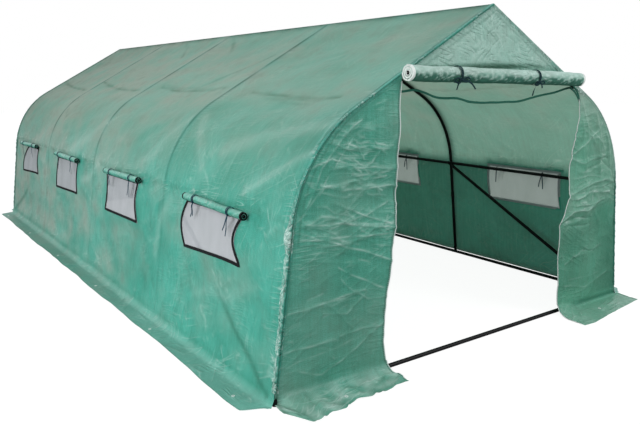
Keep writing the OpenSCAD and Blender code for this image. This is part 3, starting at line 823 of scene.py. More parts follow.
def cover_folds(side, y, t, purlin, low):
    """How far sag, folds and creases push the cover out of its even line, and how white the creases are with
    stress
    whitening and painted glints: t is the place between two hoops, and purlin and low are 1 at the side
    purlins and near the ground."""
    s, left = np.abs(side), side < 0
    slack = 1 - (1 - np.clip(t, 0, 1)) ** 2.4
    depth = np.interp(s, [0, 0.25, S_EAVE, S_WALL, S_TURN - 0.1, S_TURN],
                      [0.0, 0.034, 0.030, 0.014, 0.012, 0.0])
    free = ease(0.0, 0.35, t) * (1 - ease(S_TURN - 0.15, S_TURN, s)) * ease(0.0, 0.15, s)
    first = 1 - ease(-1.8, -1.2, y)
    across = side - 0.35 * y * np.where(left, -1.0, 1.0)
    folds = ripple(across * 2.6, y * 0.7, 3) * 0.012
    folds = folds + ripple(across * 5.5, y * 1.3, 4) * (0.006 + 0.004 * first)
    hang = ripple(side * 1.1 + 7, y * 2.6, 5) * 0.007
    above_skirt = 1 - ease(S_TURN - 0.03, S_TURN + 0.04, s)
    small = crease(side * 4.0, y * 3.0, 6) * 0.0060 + crease(side * 10.0, y * 8.0, 7) * 0.0028
    small = small * ease(0.0, 0.1, s) * (0.30 + 0.70 * ease(S_EAVE - 0.1, S_WALL, s)) * above_skirt
    crimp = purlin * (ripple(side * 10, y * 12, 8) * 0.005 + crease(side * 8, y * 7, 28) * 0.006)
    gathers = low * (ripple(side * 1.5, y * 5.0, 9) * 0.007 + crease(side * 6, y * 7.0, 14) * 0.004)
    drawn, white = crease_marks(s, np.where(left, y, -y), ROOF_CREASES + EAVE_CREASES + WALL_CREASES)
    chance, chance_white = crease_marks(side, y, scattered_creases())
    drawn = (drawn + chance) * ease(0.0, 0.1, s) * above_skirt
    push = -depth * slack + free * (folds + hang) + ease(0.02, 0.2, t) * (small + drawn) + crimp + gathers
    return push, np.maximum(white, chance_white)


def cover_painted_shade(side, y, t, up, rearward, skirt):
    """Painted shade on the cover: where tubes behind the film block the light, along its swags, and on its
    skirt.
    """
    s, lengthwise = np.abs(side), np.where(side < 0, y, -y)
    lie = np.interp(s, [0, S_EAVE, S_WALL - 0.2, S_WALL, S_TURN], [1.0, 1.0, 0.80, 0.32, 0.20])
    lie = lie * np.clip(0.75 + 0.8 * ripple(s * 5, np.round(y * 2), 16), 0.35, 1)
    purlin_off = s - S_WALL + 0.05 + 0.012 * ripple(y * 11, s * 0, 30)
    dark = [
        hump(t * BAY / 2, 0.018) * (1 - ease(S_TURN, S_FLAT, s)) * lie,
        np.clip(0.55 + 0.7 * ripple(s * 0, y * 4, 27), 0.15, 0.9) * hump(s, 0.045),
        0.75 * hump(y - HALF_L + 0.03, 0.022) * (s < S_WALL),
        0.20 * hump(s - S_TURN - 0.01, 0.025),
        np.clip(0.25 + 0.4 * ripple(s * 0, y * 7, 29), 0.08, 0.55) * hump(purlin_off, 0.013),
        skirt * np.clip(0.22 * rearward + 0.5 * ease(S_EDGE - 0.016, S_EDGE - 0.004, s), 0, 1)]
    waved = s + 0.012 * ripple(lengthwise * 9, s * 0, 15)
    broken = np.clip(0.8 + ripple(lengthwise * 5, s * 6, 22), 0.4, 1)
    for swag, deep, wide in SWAG_SHADE:
        dark.append(deep * broken * hump(far_from(waved, lengthwise, swag), wide))
    # The shadow of the corner braces through the film
    foot, run = np.array([HOOP_Y - 0.04, 0.03]), np.array([BAY - 0.04, POST_LEN - 0.035])
    for end in (-1, 1):
        u, v = end * y - foot[0], up - foot[1]
        part = (u * -run[0] + v * run[1]) / (run @ run)
        off = np.abs(u * run[1] + v * run[0]) / math.hypot(*run)
        dark.append(0.62 * hump(off, 0.022) * (part > 0) * (1 - ease(0.30, 0.55, part)))
    return np.maximum.reduce(dark)


def make_cover():
    """The film over both walls and the roof, with its window openings and side skirts, as one sheet."""
    side, y = cover_places()
    s, sign = np.abs(side), np.where(side < 0, -1.0, 1.0)
    left = side < 0
    up = POST_LEN - (s - S_WALL)
    upright = ease(S_WALL - 0.06, S_WALL, s) * (s < S_TURN)
    pull_y, pull_up = window_pull(y, up, sign)
    x, z, nx, nz = (a.reshape(s.shape) for a in down_the_side((s - pull_up * upright).reshape(-1)))

    t = from_hoop(y)
    purlin = hump(s - S_WALL + 0.06, 0.035)
    low = ease(S_TURN - 0.25, S_TURN - 0.02, s) * (1 - ease(S_TURN, S_FLAT, s))
    push, white = cover_folds(side, y, t, purlin, low)
    at_window = np.zeros_like(push)
    for middle in BAY_MIDDLES:
        framed = hump(y - middle, 0.43, 8) * hump(up - SILL - OPENING_H / 2, 0.22, 8)
        at_window = np.maximum(at_window, framed)
    push = push * (1 - 0.95 * at_window * upright)
    push = np.maximum(push, -0.0004 - 0.6 * np.clip(t * BAY / 2 - TUBE / 2, 0, 1))

    edge = ease(S_FLAT - 0.02, S_EDGE, s)
    wave = ripple(y * 1.3, side * 0.4, 10) * 0.012 + ripple(y * 4.1, side, 11) * 0.006 - 0.004
    corner = ease(-HALF_L, -HALF_L + 0.07, y) * ease(-HALF_L, -HALF_L + 0.07, -y)
    share = np.where((side > 0) & (y < 0), 0.50, 0.75)
    drawn_in = (x - (FOOT_X + FILM)) * (1 - corner) * share * ease(S_TURN, S_FLAT, s)
    px = x + nx * push + edge * wave - drawn_in
    flat = clear_of_eyelets(sign * px, y)
    lift = 0.002 + 0.008 * np.clip(ripple(y * 2.2, side * 6, 12), 0, 1)
    pz = z + nz * push + ease(S_FLAT, S_EDGE, s) * flat * lift
    py = y + pull_y * upright + edge * ripple(y * 2.0 + 5, side, 13) * 0.008 * (np.abs(y) < HALF_L - 0.1)
    points = np.stack([sign * px, py, np.maximum(pz, ON_GROUND)], axis=-1)

    first = 1 - ease(-1.8, -1.2, y)
    rearward = ease(-2.4, 1.0, y)
    skirt = ease(S_TURN, S_FLAT, s)
    creased = (0.06 + 0.40 * purlin + 0.18 * low + 0.30 * hump(np.abs(y) - HALF_L, 0.09)
               + 0.15 * hump(t * BAY / 2, 0.05)
               + 0.12 * first * ease(S_EAVE, S_WALL, s) * (1 - ease(S_WALL, S_WALL + 0.2, s)) + 0.05 * first)
    creased = creased * np.where(left, 1, 0.6) + 0.25 * skirt
    # Dust with painted sheen greys the roof slopes and grows towards the rear
    slope = 1 - ease(S_EAVE - 0.20, S_EAVE + 0.12 + 0.7 * rearward, s)
    dusty = 0.62 * slope + (0.60 * rearward + 0.30 * ease(0.6, 2.4, y)) * (1 - 0.35 * slope)
    dusty = dusty + 0.45 * ripple(s * 2.2, y * 1.1, 24)
    dusty = dusty + (0.32 + 0.25 * rearward) * ripple(s * 6, y * 4.0, 25)
    dusty = np.clip(dusty, 0, 1.25) * (1 - 0.4 * ease(S_TURN - 0.05, S_TURN, s))
    dusty = dusty * np.where(left, 1, 1 - ease(S_WALL - 0.3, S_WALL, s))
    # Painted sheen: pale bands over the eaves, and a paler skirt, less so towards the rear
    for band, wide, strong in SHEEN_BANDS:
        far = far_from(s + 0.03 * ripple(y * 3, s * 3, 26), np.where(left, y, -y), band)
        white = np.maximum(white, strong * hump(far, wide))
    white = white + (0.20 - 0.16 * rearward) * skirt
    left_thin = 1 - ease(S_EAVE + 0.3, S_WALL + 0.05, s)
    right_thin = 0.85 - 0.85 * ease(S_WALL - 0.06, S_WALL + 0.04, s)
    thin = np.where(left, left_thin, right_thin) * (1 - 0.8 * hump(t * BAY / 2, 0.045))

    def mid(a):
        return (a[:-1, :-1] + a[1:, 1:]) / 2

    hole = np.zeros(np.array(s.shape) - 1, bool)
    level = (mid(s) > S_WINDOW) & (mid(s) < S_WINDOW + OPENING_H)
    for middle in BAY_MIDDLES:
        hole |= (np.abs(mid(y) - middle) < OPENING_W / 2) & level
    cloth = Cloth()
    cloth.grid(points, np.stack([y, side], axis=-1), keep=~hole, creased=creased, whitened=white, thin=thin,
               dusty=dusty, pressed=cover_painted_shade(side, y, t, up, rearward, skirt))
    cover = cloth.piece("cover_sheet", "film_wall", COVER)
    area = (2 * HALF_L + 0.004) * 2 * S_EDGE - 8 * OPENING_W * OPENING_H
    2 * S_EDGE
    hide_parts("left_wall_film", "right_wall_film", "left_eave_film", "right_eave_film",
                "left_roof_film", "right_roof_film", "left_skirt", "right_skirt")


# Rows of an end panel on the ground and round the fold at its foot
GROUND_ROWS, FOLD_ROWS = 12, 8


def end_skirt_rows(fold=TURN_R):
    """Rows of an end panel from the skirt's outer edge to the foot of the panel, folded to a radius: forward,
    height, length on the cut."""
    turn = np.linspace(0, math.pi / 2, FOLD_ROWS + 1)[1:]
    ground = np.linspace(SKIRT_R + SKIRT_W, fold, GROUND_ROWS)
    forward = np.concatenate([ground, fold * (1 - np.sin(turn)) + FILM_T / 2])
    height = np.concatenate([np.full(GROUND_ROWS, FILM_T / 2), fold + FILM_T / 2 - fold * np.cos(turn)])
    length = np.concatenate([[0], np.cumsum(np.hypot(np.diff(forward), np.diff(height)))])
    return forward, height, length


# Creases of the two front panels as (line, height, width, whiteness), the whiteness being stress whitening
# with painted glints, on lines through places given as distance from the middle and height
LEFT_CREASES = [
    ([(1.41, 0.47), (1.115, 0.50), (0.942, 0.513)], 0.008, 0.020, 0.40),
    ([(1.38, 0.879), (1.117, 0.786), (0.747, 0.646)], 0.007, 0.016, 0.45),
    ([(1.329, 0.909), (1.117, 0.892), (1.019, 0.873), (0.721, 0.815)], 0.006, 0.012, 0.65),
    ([(1.225, 1.093), (1.091, 1.052), (0.907, 1.055), (0.727, 1.043)], 0.006, 0.012, 0.60),
    ([(1.131, 0.991), (0.977, 0.928), (0.768, 0.843)], 0.006, 0.012, 0.65),
    ([(1.009, 1.159), (0.865, 1.152), (0.73, 1.129)], 0.005, 0.010, 0.60),
    ([(1.438, 0.274), (1.333, 0.271), (1.128, 0.279)], 0.004, 0.012, 0.35),
    ([(1.20, 0.43), (1.05, 0.40), (0.93, 0.505)], 0.004, 0.012, 0.25),
    ([(1.08, 1.33), (0.98, 1.36), (0.88, 1.34)], 0.004, 0.009, 0.25),
    ([(1.05, 1.26), (0.93, 1.24), (0.84, 1.25)], 0.004, 0.009, 0.30),
    ([(1.30, 0.99), (1.206, 1.179), (1.081, 1.316), (0.958, 1.399)], 0.004, 0.010, 0.35),
    ([(1.38, 0.16), (1.20, 0.10), (0.98, 0.20), (0.80, 0.30)], 0.006, 0.020, 0.30)]
RIGHT_CREASES = [
    ([(0.712, 0.662), (0.86, 0.71), (1.02, 0.70), (1.16, 0.75)], 0.020, 0.020, 0.85),
    ([(0.72, 0.640), (0.90, 0.655), (1.08, 0.64)], -0.012, 0.018, 0.55),
    ([(0.735, 0.80), (0.98, 0.86), (1.22, 0.90), (1.40, 0.84)], 0.014, 0.018, 0.40),
    ([(0.90, 0.78), (1.08, 0.82), (1.30, 0.80)], 0.012, 0.016, 0.80),
    ([(0.76, 1.08), (0.95, 1.03), (1.20, 1.06)], 0.009, 0.016, 0.30),
    ([(0.95, 1.28), (1.08, 1.20), (1.18, 1.10)], 0.010, 0.018, 0.20),
    ([(1.02, 0.97), (1.18, 1.02), (1.30, 0.95)], -0.010, 0.016, 0.30),
    ([(0.90, 1.42), (0.97, 1.22), (0.98, 1.00)], 0.014, 0.030, 0.12),
    ([(1.06, 1.34), (1.13, 1.16), (1.15, 0.96)], 0.014, 0.030, 0.12),
    ([(1.20, 1.20), (1.27, 1.06), (1.29, 0.92)], 0.012, 0.026, 0.10),
    ([(1.00, 0.45), (1.12, 0.40), (1.25, 0.43)], 0.006, 0.012, 0.30),
    ([(0.85, 0.18), (1.10, 0.14), (1.35, 0.20)], 0.005, 0.014, 0.25)]


def make_front_panel(name, sign, edge, skirt, fold, creases, shade, seed, *replaced):
    """One side of the front, from the roof down to its skirt, with the loose edge of the doorway. Edge and
    skirt are its two loose lines, fold the radius at its foot and shade how much painted shade darkens it low
    down. Returns the line of the doorway's edge."""
    a = np.linspace(0, 1, 130)[None]
    rows = []
    for radius in (TURN_R, fold):
        forward, height, length = end_skirt_rows(radius)
        rise = np.linspace(height[-1], roof_z(edge[1][-1]) - 0.002, 270)[1:]
        rows.append((np.concatenate([height, rise]), np.concatenate([forward, np.zeros_like(rise)]),
                     np.concatenate([length, length[-1] + rise - height[-1]])))
    outward = ease(0.0, 0.5, a)
    zz, ff, zc = (inside[:, None] * (1 - outward) + outside[:, None] * outward
                  for inside, outside in zip(*rows))
    z, cut_z = rows[0][0], rows[0][2]
    outer = outer_x(np.maximum(rows[1][0], SKIRT_Z))
    inner = np.minimum(np.interp(np.where(z > SKIRT_Z, z, z * 0.6), *edge), outer - 0.0005)
    x = inner[:, None] + (outer - inner)[:, None] * a

    panel = ease(SKIRT_Z - 0.02, SKIRT_Z + 0.12, zz)
    loose = (1 - a) ** 1.1
    bulge = 0.024 * np.sin(np.clip((zz - 0.05) / 1.5, 0, 1) * math.pi) * loose
    flutter = ripple(zz * 2.4 + 3, x * 1.2, seed) * 0.016 * loose
    flutter = flutter + ripple(zz * 6.5, x * 1.6, seed + 1) * 0.008 * loose
    hang = ripple(x * 3.0 + zz * 0.5, zz * 1.3, seed + 2) * 0.010 * np.sin(a * math.pi)
    upper = ease(0.50, 0.75, zz) * (1 - ease(1.20, 1.45, zz))
    small = crease(x * 2.2 + zz, zz * 9.0 - x * 1.5, seed + 3) * 0.004 * upper
    small = small + crease(x * 5, zz * 6 + x * 2, seed + 4) * 0.003
    fine = drawn_wrinkles(seed, 32 if sign < 0 else 12, 0.76, 1.27, 0.38)
    fine += drawn_wrinkles(seed + 1, 4, 0.20, 0.70, 0.40)
    drawn, white = crease_marks(x, zz, with_lesser(creases, seed, 3) + fine, 0.010, 0.0042)
    push = panel * (bulge + flutter + hang + (small + drawn) * ease(0.0, 0.12, 1 - a)) + 0.002

    at_foot = GROUND_ROWS + FOLD_ROWS - 1
    foot = rows[0][2][at_foot] * (1 - outward) + rows[1][2][at_foot] * outward
    hem = 1 - ease(foot - 0.11, foot + 0.005, zc)
    ragged = 1 - shade * 1.5
    frayed = ripple(x * 8.0, zz * 0, seed + 6) * 0.008 + ripple(x * 21.0, zz * 0, seed + 9) * 0.005
    wave = hem * (np.interp(x, *skirt) + frayed * ragged)
    bumps = np.clip(ripple(x * 6, ff * 12, seed + 7) + crease(x * 9, ff * 16, seed + 10), 0, 1)
    lift = hem * clear_of_eyelets(sign * x, -(HALF_L + ff)) * (0.002 + 0.014 * ragged * bumps)
    flared = np.interp(ff, [0.0, 0.1, 0.16], [0.065, 0.035, 0.036])
    flare = (sign > 0) * (1 - ease(0.001, 0.014, zz)) * ease(0.60, 1.0, a) * flared
    ahead = HALF_L + END_OFF + ff + push + wave
    points = np.stack([sign * (x + flare), -ahead, np.maximum(zz + lift, ON_GROUND)], axis=-1)
    lip = points[:, 0].copy()

    creased = 0.06 + 0.16 * upper + 0.08 * hump(a, 0.12) + 0.15 * hump(1 - a, 0.06) + 0.42 * hem
    rim = (1 - a) * (outer - inner)[:, None]
    patchy = 0.6 + 0.4 * ripple(x * 3, zz * 3, seed + 8)
    # Painted shade: the post and hoop behind the outer edge, the lower panel and its corner by the post, the
    # fold at its foot, and blotches in the skirt's crumples
    dark = [
        0.75 * hump(rim - 0.010, 0.009) + 0.35 * hump(rim - 0.045, 0.006) * (zz > 0.8),
        shade * ease(0.10, 0.20, zz) * (1 - ease(0.55, 0.85, zz)) * patchy,
        hem * np.clip(0.80 * ripple(x * 7, ff * 9, seed + 11), 0, 0.55) * (0.4 + 0.6 * ragged),
        shade * 1.35 * ease(0.30, 1.0, a) * ease(0.02, 0.08, zz) * (1 - ease(0.45, 0.75, zz)),
        shade * 1.30 * ease(0.15, 0.45, a) * hump(zz - 0.030, 0.020)]
    # Painted highlights on the skirt's crumples
    white = white + hem * np.clip(0.17 + 0.55 * ragged * ripple(x * 10, ff * 15, seed + 12), 0, 0.6)
    # Dust low on the left panel; on the right, painted sheen greys its top
    dusty = (0.22 - 0.16 * ease(0.35, 0.75, zz)) * (shade == 0)
    dusty = dusty + shade * (0.6 * ease(0.62, 0.80, zz) + 0.8 * ease(1.20, 1.48, zz))
    dusty = np.clip(dusty + 0.25 * ripple(x * 3, zz * 2.5, seed + 5), 0, 0.8)
    grids = [points, np.stack([x, zc], axis=-1), np.maximum.reduce(dark), creased, white, dusty]
    points, cut, pressed, creased, white, dusty = [g[:, ::-1] for g in grids] if sign > 0 else grids
    cloth = Cloth()
    cloth.grid(points, cut, pressed=pressed, creased=creased, whitened=white, dusty=dusty)
    piece = cloth.piece(name, "film_end", PANEL if sign < 0 else WARM_LIT_PANEL)
    across = outer - inner + flare[:, -1]
    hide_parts(*replaced)
    return lip


def make_gable():
    """The top of the front, sewn to the rolled door along its lower edge."""
    width = 1.60
    x = np.linspace(-width / 2, width / 2, 200)
    high = roof_z(x) - 0.001
    low = np.minimum(roll_point(x[:, None])[:, 2] - 0.022, high - 0.002)
    z = low + (high - low) * np.linspace(0, 1, 60)[:, None]
    xx = np.repeat(x[None], 60, 0)
    below = high - z
    slack = np.clip(below / 0.2, 0, 1)
    push = slack * (ripple(xx * 3, z * 4, 32) * 0.007 + crease(xx * 4 + z * 3, z * 6, 33) * 0.006 - 0.003)
    push = push + 0.040 * ease(1.635, 1.675, z) * np.clip(below / 0.30, 0, 1)
    pucker = ([(-0.05, 1.88), (0.02, 1.82), (0.05, 1.76)], 0.004, 0.01, 0.25)
    drawn, white = crease_marks(xx, z, [pucker])
    push = np.where(z < 1.65, np.minimum(push + drawn, 0.002), push + drawn)
    points = np.stack([xx, -(HALF_L + END_OFF + push), z], axis=-1)
    # Painted shade under the roof's edge and in a band above the rolled door; a painted reflection whitens
    # the gable above it, and painted sheen greys it
    pressed = 0.45 * hump(below, 0.03) + 0.30 * hump(below - 0.045, 0.008)
    fold = 0.55 * hump(z - 1.668 + 0.02 * xx, 0.014) * hump(xx - 0.05, 0.26, 4)
    cloth = Cloth()
    cloth.grid(points, np.stack([xx, z], axis=-1), pressed=np.maximum(pressed, fold),
               creased=0.24 + 0.15 * hump(below, 0.06), whitened=white + 0.40 * ease(1.60, 1.66, z),
               dusty=0.34 + 0.25 * ripple(xx * 5, z * 6, 34))
    piece = cloth.piece("front_gable_sheet", "film_end", GABLE)
    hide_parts("front_gable_panel")


def make_rear():
    """The plain rear end with its skirt."""
    forward, height, length = end_skirt_rows()
    rise = steps(SKIRT_Z, (1.45, 80), (PEAK[1] - 0.003, 36))[1:]
    z, f = np.concatenate([height, rise]), np.concatenate([forward, np.zeros_like(rise)])
    cut_z = np.concatenate([length, length[-1] + rise - SKIRT_Z])
    outer = outer_x(np.maximum(z, SKIRT_Z))
    a, zz = np.meshgrid(np.linspace(-1, 1, 151), z)
    x = outer[:, None] * a
    ff, zc = np.broadcast_to(f[:, None], x.shape), np.broadcast_to(cut_z[:, None], x.shape)
    panel = ease(SKIRT_Z - 0.02, SKIRT_Z + 0.12, zz) * (1 - np.abs(a) ** 6)
    slack = ripple(x * 1.6, zz * 1.4, 41) * 0.014 + ripple(x * 4, zz * 3, 42) * 0.006
    small = crease(x * 3, zz * 6, 43) * 0.006 + crease(x * 8 + zz * 3, zz * 7, 47) * 0.003
    push = panel * (slack + small) + 0.004
    edge = 1 - ease(0.0, 0.13, zc)
    wave = edge * (ripple(x * 2.2, zz * 0, 44) * 0.026 + ripple(x * 6.0, zz * 0, 45) * 0.012)
    bumps = np.clip(ripple(x * 5, ff * 20, 46), 0, 1)
    lift = edge * clear_of_eyelets(x, HALF_L + ff) * (0.002 + 0.010 * bumps)
    points = np.stack([x, HALF_L + END_OFF + ff + push + wave, np.maximum(zz + lift, ON_GROUND)], axis=-1)
    rim = outer[:, None] - np.abs(x)
    creased = 0.14 + 0.2 * hump(rim, 0.06) + 0.15 * edge
    # Painted shade along the rim, where the end hoop lies behind the film, and along a line near the foot
    pressed = np.maximum(0.45 * hump(rim, 0.02), 0.3 * hump(zz - 0.07, 0.02))
    cut = np.stack([x, zc], axis=-1)
    cloth = Cloth()
    cloth.grid(points[:, ::-1], cut[:, ::-1], pressed=pressed[:, ::-1], creased=creased[:, ::-1])
    piece = cloth.piece("rear_sheet", "film_end", PANEL)
    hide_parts("rear_panel", "rear_skirt")


def make_hem(name, end):
    """The sewn edge that wraps round an end hoop from foot to foot, gathered low down and whitened there with
    painted glints. On the front's right slope it has a wider pale lip, greyed with dusting and painted sheen."""
    s = steps(0.0, (0.02, 2), (S_EAVE, 120), (S_WALL - 0.25, 70), (S_TURN - 0.02, 260))
    side = np.concatenate([-s[:0:-1], s])
    x, z, nx, nz = down_the_side(np.abs(side))
    sign = np.where(side < 0, -1.0, 1.0)
    low = ease(S_WALL - 0.20, S_WALL + 0.06, np.abs(side))
    knot = hump(np.abs(side) - S_WALL - 0.02, 0.05)
    part = np.concatenate([np.linspace(-1.0, -0.08, 12), [0.06, 0.25, 0.5, 0.75, 1.0]])
    u, v = np.repeat(side[:, None], len(part), 1), np.repeat(part[None], len(side), 0)
    wide = 0.016 + (0.012 + 0.007 * ripple(side * 7, side * 0, 64)) * low + 0.022 * knot
    pale = (side > 0) * (end < 0) * (1 - low)
    front = 0.010 + 0.008 * low + 0.014 * pale
    wrap = np.clip(-part, 0, 1)[None] * wide[:, None]
    over = np.clip(part, 0, 1)[None] * front[:, None]
    proud = 0.0022 + 0.0030 * low[:, None] * (1 - np.abs(part)[None])
    gathers = crease(u * 16, v * 1.3 + u * 4, 61) * 0.0045 + crease(u * 34, v * 2.0 - u * 6, 62) * 0.0030
    gathers = gathers * (0.15 + 0.85 * low[:, None] + 0.6 * knot[:, None])
    out = np.where(part <= 0, proud + gathers, 0.0)
    px = x[:, None] + nx[:, None] * (np.where(part <= 0.0, out, 0.0015) - over)
    pz = z[:, None] + nz[:, None] * (np.where(part <= 0.0, out, 0.0015) - over)
    ahead = HALF_L + 0.0030 + np.where(part > 0, gathers * 0.6 + 0.001, 0) - wrap
    points = np.stack([sign[:, None] * px, end * ahead, pz], axis=-1)
    low, knot, pale = low[:, None], knot[:, None], pale[:, None]
    # Painted glints on the gathers low down and on a crumpled spot where the eave meets the wall
    glints = crease(u * 15, v * 1.6 + u * 4, 61) * 0.9 + crease(u * 30, v * 2.2, 63) * 0.7
    glints = np.clip(glints + 0.15 * ripple(u * 8, v * 2, 65), 0, 0.95)
    knotted = 0.9 * knot * np.clip(0.55 + ripple(u * 24, v * 4, 66), 0, 1)
    white = np.maximum(low * glints * (v < 0.05), knotted)
    # Painted shade: along the fold of the front lip, in the gathers low down, over the rear hem, and low on
    # the front's right side
    dark = np.maximum.reduce([
        0.95 * hump(v - 0.45, 0.35) * (0.80 + 0.20 * low),
        0.75 * low * np.clip(-1.5 * ripple(u * 11, v * 2.4, 67), 0, 1),
        0.8 * (end > 0) * (np.abs(v) < 0.6),
        0.85 * ((u > 0) & (end < 0)) * low])
    dark = np.where((pale > 0.5) & (v > 0.1) & (v < 0.9), 0.10, dark)
    glint_share = np.where((u < 0) & (end < 0), 0.78, 0.30)
    marks = {"creased": np.full_like(u, 0.9), "whitened": white * glint_share + 0.10 * pale * (v > 0),
             "pressed": dark, "dusty": 0.8 * pale * (v > 0)}
    cut = np.stack([u, v * 0.03], axis=-1)
    if end > 0:
        points, cut, marks = points[:, ::-1], cut[:, ::-1], {k: m[:, ::-1] for k, m in marks.items()}
    cloth = Cloth()
    cloth.grid(points, cut, **marks)
    piece = cloth.piece(name, "film_wall", HEM)
    float((wide + front).max())
    float(np.trapz(wide + front, side))


def rolled(cloth, start, finish_at, outward, radius, core, turns, thick, stations, around, seed, bound, dust,
           tight):
    """A sheet rolled up on a line from start to finish_at, its free end leaving at the back: outward points
    away from the wall, bound is the width of the bound edges, dust sets the painted light and dusting
    on its top and the painted shade under it, and tight lists where ties draw it in. Returns the length that
    is wound up."""
    start, finish_at = np.asarray(start, float), np.asarray(finish_at, float)
    axis = unit(finish_at - start)
    out = unit(np.asarray(outward, float) - axis * np.dot(outward, axis))
    up = np.cross(axis, out)
    up = up if up[2] > 0 else -up
    count = int(turns * around) + 1
    theta = np.linspace(0, turns * 2 * math.pi, count)
    phi = -math.pi + (theta[-1] - theta)
    r = core + (radius - thick / 2 - core) * theta / theta[-1]
    length = np.concatenate([[0], np.cumsum(np.hypot(np.diff(r), r[1:] * np.diff(theta)))])
    far = np.linalg.norm(finish_at - start)
    at = np.concatenate([[0, bound], np.linspace(bound, far - bound, stations)[1:-1], [far - bound, far]])
    t, ph = np.meshgrid(at, phi, indexing="ij")
    rr = np.repeat(r[None], len(at), 0)
    draw = sum((hump(t - k, 0.025) for k in tight), np.zeros_like(t))
    swell = 1 + 0.045 * ripple(t * 8, ph * 0.9 + seed, seed) + 0.030 * ripple(t * 22 + ph, ph * 1.5, seed + 1)
    swell = swell - 0.07 * draw
    lean = ripple(at * 3.0, at * 0, seed + 2)[:, None, None] * 0.10 * radius
    ends = np.where((t < 1e-6) | (t > far - 1e-6), ripple(ph * 0.35, t, seed + 3) * 0.05 * radius, 0)

    def layer(shift):
        reach = (rr + shift) * swell
        return (start + axis * (t + ends)[..., None] + lean * up
                + reach[..., None] * (np.cos(ph)[..., None] * out + np.sin(ph)[..., None] * up))

    outside, inside = layer(thick / 2), layer(-thick / 2)
    points = np.concatenate([outside, inside[:, ::-1]], axis=1)
    flat = np.stack([t, np.repeat(length[None], len(at), 0)], axis=-1)
    cut = np.concatenate([flat, flat[:, ::-1]], axis=1)
    # The top of the roll is painted light and dusty, its underside painted in shade, with a jagged edge
    # between
    on_top = np.sin(ph) + 0.30 * ripple(t * 14, ph, seed + 4)
    on_top = on_top + 0.9 * crease(t * 16 + ph, ph * 1.5 - t * 9, seed + 5) - 0.2
    marks = {"dusty": dust * np.clip(0.45 + 0.75 * on_top, 0, 1),
             "pressed": (0.35 + 0.65 * dust) * np.clip((-0.10 - on_top) / 0.22, 0, 1),
             "whitened": 0.62 * dust * np.clip(on_top + 0.08, 0, 1),
             "creased": 0.30 + 0.3 * draw}
    marks = {k: np.concatenate([m, m[:, ::-1]], axis=1) for k, m in marks.items()}
    which = np.zeros((len(at) - 1, 2 * count), int)
    which[[0, -1]] = 1
    last = points[0, count - 2]
    if np.dot(np.cross(axis, points[0, count - 3] - last), last - start) > 0:
        points, cut, marks = points[:, ::-1], cut[:, ::-1], {k: m[:, ::-1] for k, m in marks.items()}
    index = cloth.grid(points, cut, which, round_cols=True, **marks)
    for ring, turn in ((index[0], 1), (index[-1], -1)):
        pair = np.stack([ring[:count], ring[::-1][:count]], axis=1)
        quads = np.stack([pair[:-1, 0], pair[1:, 0], pair[1:, 1], pair[:-1, 1]], axis=1)[:, ::turn]
        ringed = (np.arange(count - 1) // around) % 3 == 1
        cloth.patch(quads[~ringed], 1)
        cloth.patch(quads[ringed], 0)
    return length[-1]


def loop_tape(cloth, centre, axis, outward, radius, width, thick, slot=0):
    """A tape tied round a roll."""
    axis = unit(np.asarray(axis, float))
    out = unit(np.asarray(outward, float) - axis * np.dot(outward, axis))
    other = np.cross(axis, out)
    a = np.linspace(0, 2 * math.pi, 28, endpoint=False)[:, None]
    path = np.asarray(centre) + radius * (np.cos(a) * out + np.sin(a) * other)
    tape(cloth, path, axis, width, thick, slot, closed=True)


# The rolled door's two ends, its ties, and their tails and bows as (across, up) from the knot
ROLL_START, ROLL_END = np.array([-0.692, -3.0484, 1.6270]), np.array([0.795, -3.0484, 1.5750])
DOOR_TIES = (-0.335, 0.335)
DOOR_BOWS = (
    [[(0, 0), (-0.020, -0.006), (-0.030, -0.030), (-0.036, -0.046)],
     [(0, 0), (0.030, -0.004), (0.062, -0.020), (0.086, -0.046)],
     [(0, 0), (-0.030, 0.010), (-0.048, -0.004), (-0.022, -0.016), (0, -0.003)],
     [(0, 0), (0.030, 0.012), (0.050, 0.002), (0.026, -0.010), (0, -0.003)]],
    [[(0, 0), (-0.024, -0.010), (-0.044, -0.034), (-0.058, -0.068)],
     [(0, 0), (0.012, -0.010), (0.018, -0.030)],
     [(0, 0), (-0.026, 0.004), (-0.040, -0.010), (-0.016, -0.014), (0, -0.003)],
     [(0, 0), (0.022, 0.008), (0.034, -0.004), (0.014, -0.010), (0, -0.003)]])


def roll_point(x):
    """The point on the rolled door's middle line at a place across the tunnel."""
    return ROLL_START + (ROLL_END - ROLL_START) * ((x - ROLL_START[0]) / (ROLL_END[0] - ROLL_START[0]))


def make_door_roll():
    """The rolled-up door with its pale ends, and the two dark cord stubs at its left end."""
    cloth = Cloth()
    far = np.linalg.norm(ROLL_END - ROLL_START)
    tight = [(x - ROLL_START[0]) * far / (ROLL_END[0] - ROLL_START[0]) for x in DOOR_TIES]
    length = rolled(cloth, ROLL_START, ROLL_END, (0, -1, 0), radius=0.044, core=0.011, turns=7.0,
                    thick=0.0030, stations=140, around=26, seed=71, bound=0.014, dust=1.0, tight=tight)
    for rise in (-0.0055, 0.0055):
        stub = np.array([[-0.004, 0.0, rise], [0.02, 0.0, rise], [0.05, 0.001, rise]]) + ROLL_START
        piping(cloth, stub, 0.0046, 2)
    piece = cloth.piece("door_roll_sheet", "film_roll", ROLLED, PALE_CORD, BLACK_TAPE)
    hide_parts("door_roll")


